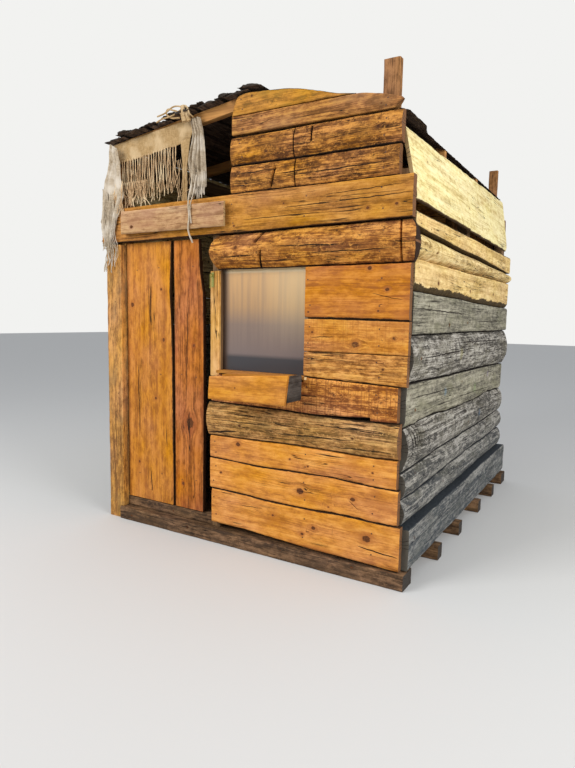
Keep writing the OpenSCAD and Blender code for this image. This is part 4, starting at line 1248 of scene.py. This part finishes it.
# Both ends of the line they hang from, then how many, length, radius, sway, seed and material
THREADS = {
    "fringe_back": ((-1.050, -1.364, 2.652), (-0.520, -1.364, 2.700),
                    24, 0.345, 0.0036, 0.060, 5, thread_linen),
    "fringe_front": ((-1.060, -1.378, 2.655), (-0.500, -1.378, 2.705),
                     22, 0.360, 0.0028, 0.150, 23, thread_linen),
    "fringe_tangle": ((-1.060, -1.385, 2.500), (-0.780, -1.385, 2.500),
                      22, 0.200, 0.0030, 0.240, 29, thread_linen),
    "fringe_stray": ((-0.520, -1.376, 2.600), (-0.380, -1.376, 2.620),
                     8, 0.300, 0.0022, 0.300, 37, thread_linen),
    "fall_threads": ((-0.385, -1.388, 2.500), (-0.266, -1.388, 2.500),
                     20, 0.180, 0.0032, 0.070, 31, grey_linen),
    "corner_wisps": ((-1.075, -1.412, 2.540), (-0.995, -1.412, 2.500),
                     24, 0.290, 0.0030, 0.240, 47, thread_linen),
    "corner_ends": ((-1.165, -1.424, 2.380), (-1.070, -1.424, 2.380),
                    18, 0.520, 0.0030, 0.180, 53, grey_linen),
    "corner_left": ((-1.205, -1.412, 2.470), (-1.140, -1.424, 2.430),
                    16, 0.440, 0.0028, 0.260, 71, grey_linen),
    "corner_cord": ((-1.130, -1.372, 2.765), (-1.085, -1.372, 2.700),
                    7, 0.420, 0.0040, 0.045, 61, tan_linen),
}
threads = []
for name, (start, end, count, length, radius, sway, seed, material) in THREADS.items():
    threads.append(run_nodes(name, thread_tree, {
        "Start": start, "End": end, "Count": count, "Length": length, "Radius": radius, "Sway": sway,
        "Seed": seed, "Material": material}))


def cord_piece(name, points, radius, material, sides=6):
    """Run a tube along a smooth curve through a few points."""
    curve = bpy.data.curves.new(name, "CURVE")
    curve.dimensions = "3D"
    curve.bevel_depth = radius
    curve.bevel_resolution = max(0, sides // 2 - 2)
    curve.resolution_u = 6
    curve.use_fill_caps = True
    line = curve.splines.new("BEZIER")
    line.bezier_points.add(len(points) - 1)
    for knot_point, place in zip(line.bezier_points, points):
        knot_point.co = place
        knot_point.handle_left_type = knot_point.handle_right_type = "AUTO"
    piece = keep_mesh(name, put(name, curve))
    piece.data.materials.clear()
    piece.data.materials.append(material)
    return piece


TIES = {
    "tie_bundle": ([(-0.420, -1.405, 2.830), (-0.427, -1.412, 2.865), (-0.420, -1.418, 2.895),
                    (-0.427, -1.415, 2.922)], 0.022),
    "tie_bundle_right": ([(-0.390, -1.402, 2.830), (-0.397, -1.412, 2.870),
                          (-0.385, -1.415, 2.905)], 0.015),
    "tie_loop": ([(-0.410, -1.425, 2.860), (-0.490, -1.435, 2.900), (-0.560, -1.432, 2.905),
                  (-0.530, -1.430, 2.865), (-0.450, -1.428, 2.850)], 0.006),
    "tie_loop_low": ([(-0.430, -1.425, 2.905), (-0.500, -1.437, 2.870), (-0.600, -1.434, 2.862),
                      (-0.650, -1.430, 2.850)], 0.005),
    "tie_end": ([(-0.420, -1.428, 2.915), (-0.490, -1.436, 2.925), (-0.570, -1.436, 2.895),
                 (-0.640, -1.434, 2.885)], 0.005),
    "tie_right": ([(-0.400, -1.428, 2.920), (-0.375, -1.434, 2.900), (-0.365, -1.426, 2.865),
                   (-0.355, -1.400, 2.848)], 0.005),
    "long_thread": ([(-0.360, -1.404, 2.560), (-0.352, -1.425, 2.420), (-0.356, -1.452, 2.300),
                     (-0.348, -1.453, 2.200), (-0.356, -1.453, 2.120), (-0.346, -1.420, 2.040)], 0.006),
    "long_thread_thin": ([(-0.325, -1.404, 2.480), (-0.334, -1.430, 2.350), (-0.340, -1.453, 2.270),
                          (-0.330, -1.453, 2.160)], 0.004),
}
ties = [cord_piece(name, points, radius, grey_linen if "thread" in name else tan_linen)
        for name, (points, radius) in TIES.items()]
for piece in [band, strip, fall, corner, *threads, *ties]:
    stand_for(piece, "hanging_cloth")

# %% [markdown]
# Nails hold each board to the uprights behind it, two at each crossing. Their heads are flat discs of
# nine millimetres, dark with rust. Geometry Nodes sets a disc with eight sides on each marked point
# and turns it to face out of its wall, so one small tree serves the walls and the door.

# %% Nail heads
def nail_spots(boards, stations, shares=(0.26, 0.74)):
    """Mark the front of each board where it crosses the uprights."""
    spots = []
    for board in boards:
        shape = board["shape"]
        s, c, n = (board["points"] @ axis for axis in board["axes"])
        front = n > shape["n0"] + 0.5 * shape["edge_depth"]
        for i, station in enumerate(stations):
            if shape["s0"] + 0.015 < station < shape["s1"] - 0.015:
                bottom, top = edges_at(shape, [station])
                for share in shares:
                    place_s = station + 0.008 * math.sin(7 * share + 3 * i + 40 * bottom[0])
                    place_c = bottom[0] + share * (top[0] - bottom[0])
                    away = np.hypot(s - place_s, c - place_c) + np.where(front, 0.0, 9.0)
                    spots.append(board["points"][int(np.argmin(away))].tolist())
    return spots


def nails_tree():
    """Build the node tree that sets a nail head on each point."""
    tree, given = group_tree("nail_heads", {"Points": "Geometry", "Radius": "Float",
                                            "Thickness": "Float", "Turn": "Vector",
                                            "Material": "Material"})
    disc = add(tree, "GeometryNodeMeshCylinder", None,
               {"Vertices": 8, "Radius": given["Radius"], "Depth": given["Thickness"]})
    turn = add(tree, "FunctionNodeEulerToRotation", None, {"Euler": given["Turn"]})
    heads = add(tree, "GeometryNodeInstanceOnPoints", None,
                {"Points": given["Points"], "Instance": disc, "Rotation": turn})
    heads = add(tree, "GeometryNodeRealizeInstances", None, {"Geometry": heads})
    heads = add(tree, "GeometryNodeSetMaterial", None, {"Geometry": heads, "Material": given["Material"]})
    add(tree, "NodeGroupOutput", None, {0: heads}, out=None)
    return tree


def mottled(name, scale, detail, first, second, roughness, depth, **sockets):
    """Make a material of two colours mixed by one noise, such as rust."""
    material, tree = new_material(name)
    spots = add(tree, "ShaderNodeTexNoise", None,
                {"Vector": object_place(tree), "Scale": scale, "Detail": detail})
    colour = blend(tree, spots, linear(first), linear(second))
    finish_material(tree, colour, roughness, spots, depth, **sockets)
    return material


nail_steel = mottled("nail_steel_rusted", 300.0, 2.0, "#3a2a20", "#6a4630", 0.6, 0.0003, Metallic=0.4)
NAIL_RADIUS = 0.0045
NAIL_THICK = 0.002
FACE_FRONT = (math.pi / 2, 0, 0)
FACE_SIDE = (0, math.pi / 2, 0)
front_nails = [*nail_spots([*lower, *slab, *waist], (-0.17, 0.53, 0.99)),
               *nail_spots(side_boards, (0.535, 0.99)), *nail_spots(over, (-0.165, 1.00)),
               *nail_spots(lintel, (-1.12, -0.03, 0.50, 0.99)), *nail_spots(gable, (0.03, 0.99))]
door_height = [solid[0][:, 2].mean() for solid in solids_of("door_ledges")]
NAILS = {
    "nails_front": (front_nails, FACE_FRONT, "hut"),
    "nails_right": (nail_spots([*right_low, *right_mid, *right_up], (-1.27, 0.0, 1.27)), FACE_SIDE, "hut"),
    "nails_left": (nail_spots([*far_walls[0], *far_walls[1]], (-1.2, 0.0, 1.34)), FACE_SIDE, "hut"),
    "nails_back": (nail_spots([*far_walls[2], *far_walls[3]], (-1.1, 0.0, 1.07)), FACE_FRONT, "hut"),
    "nails_door": (nail_spots([*wide, *narrow], door_height), FACE_FRONT, "door"),
}
nail_tree = nails_tree()
for name, (spots, turn, body) in NAILS.items():
    heads = run_nodes(name, nail_tree, {"Radius": NAIL_RADIUS, "Thickness": NAIL_THICK, "Turn": turn,
                                        "Material": nail_steel}, spots)
    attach(heads, body)
    print(name, "nails:", len(spots))

# %% [markdown]
# The hinges are rusted iron and the hook keeps some of its paint. The window sheet is dull
# plastic, and its colour carries painted light: dark at its foot, painted reflections of the ground
# in grey-mauve and of bright surroundings in warm tan above, a brighter painted reflection to the
# right, a pale strip at its top, a painted shade at its left edge by the jamb, and faint upright
# smears.

# %% Iron and window sheet
iron = mottled("hinge_iron_forged", 60.0, 4.0, "#2a2623", "#5a3a26", 0.6, 0.0004, Metallic=0.6)
hook_paint = mottled("hook_worn_paint", 220.0, 3.0, "#a8a434", "#5e5c30", 0.45, 0.0002)
pane, tree = new_material("window_sheet_plastic_painted_reflections")
across, _, up = three(tree, object_place(tree))
PANE_FOOT, PANE_TOP = 1.198, 1.878
share = add(tree, "ShaderNodeMapRange", None, {"Value": up, "From Min": PANE_FOOT, "From Max": PANE_TOP})
# Dark at the foot, then painted reflections: grey-mauve of the ground, warm tan above.
dark_foot_and_reflections = colour_stops(tree, share, ((0.13, "#39373a"), (0.17, "#766762"), (0.45, "#826d5e"),
                                    (0.62, "#ac865a"), (0.98, "#cb9d62")))
sheet_face = add(tree, "ShaderNodeCombineXYZ", None, {"X": across, "Y": up})
smears = noise(tree, sheet_face, 30.0, 1.3, 3.0)
smears = calc(tree, "MULTIPLY", ease(tree, smears, 0.36, 0.70, 0.3), ease(tree, up, 1.30, 1.42))
colour = blend(tree, smears, dark_foot_and_reflections, linear("#6a5a54"))
# A painted reflection, brighter to the right.
bright_reflection = calc(tree, "MULTIPLY", ease(tree, across, 0.05, 0.50, 0.4), ease(tree, up, 1.30, 1.80))
colour = blend(tree, bright_reflection, colour, linear("#ead09a"))
colour = blend(tree, ease(tree, up, 1.832, 1.850, 0.6), colour, linear("#ead9ae"))
# Painted shade at the left edge, where the jamb shades the sheet.
colour = blend(tree, ease(tree, across, -0.095, -0.145, 0.9), colour, linear("#3c2c22"))
finish_material(tree, colour, 0.35)
for node, material in (("door_bands", iron), ("door_pintles", iron), ("door_hook", hook_paint),
                       ("window_sheet", pane)):
    wear(node, material)

# %% [markdown]
# A pale floor and a pale sky, with one large lamp in front at the left and a weaker one at the right,
# so that both walls that show are lit evenly.

# %% Light, floor and the last lines
floor_mesh = bpy.data.meshes.new("floor")
FLOOR_REACH = 40
corners = [(x * FLOOR_REACH, y * FLOOR_REACH, 0) for x, y in ((-1, -1), (1, -1), (1, 1), (-1, 1))]
floor_mesh.from_pydata(corners, [], [(0, 1, 2, 3)])
floor = put("floor", floor_mesh)
floor_paint, tree = new_material("floor_pale")
finish_material(tree, linear("#d9d8d5"), 0.9)
floor_mesh.materials.append(floor_paint)

world = bpy.data.worlds.new("studio")
world.use_nodes = True
scene.world = world
world.node_tree.nodes.clear()
seen = add(world.node_tree, "ShaderNodeLightPath", out=0)
shown = add(world.node_tree, "ShaderNodeBackground", None, {"Color": linear("#f2f2f0"), "Strength": 1.0})
lit = add(world.node_tree, "ShaderNodeBackground", None, {"Color": linear("#eef2f8"), "Strength": 0.6})
either = add(world.node_tree, "ShaderNodeMixShader", None, {0: seen, 1: lit, 2: shown})
add(world.node_tree, "ShaderNodeOutputWorld", None, {"Surface": either}, out=None)


def soft_lamp(name, place, target, size, power):
    """Add a large soft lamp that faces a point of the hut."""
    lamp = bpy.data.lights.new(name, "AREA")
    lamp.size = size
    lamp.energy = power
    thing = put(name, lamp)
    thing.location = place
    thing.rotation_euler = (Vector(target) - Vector(place)).to_track_quat("-Z", "Y").to_euler()


soft_lamp("key", (-3.5, -7.5, 5.0), (0, 0, 1.3), 4.0, 400)
soft_lamp("fill", (7.0, -3.0, 4.0), (0, 0, 1.3), 4.0, 340)
scene.view_settings.view_transform = "Standard"
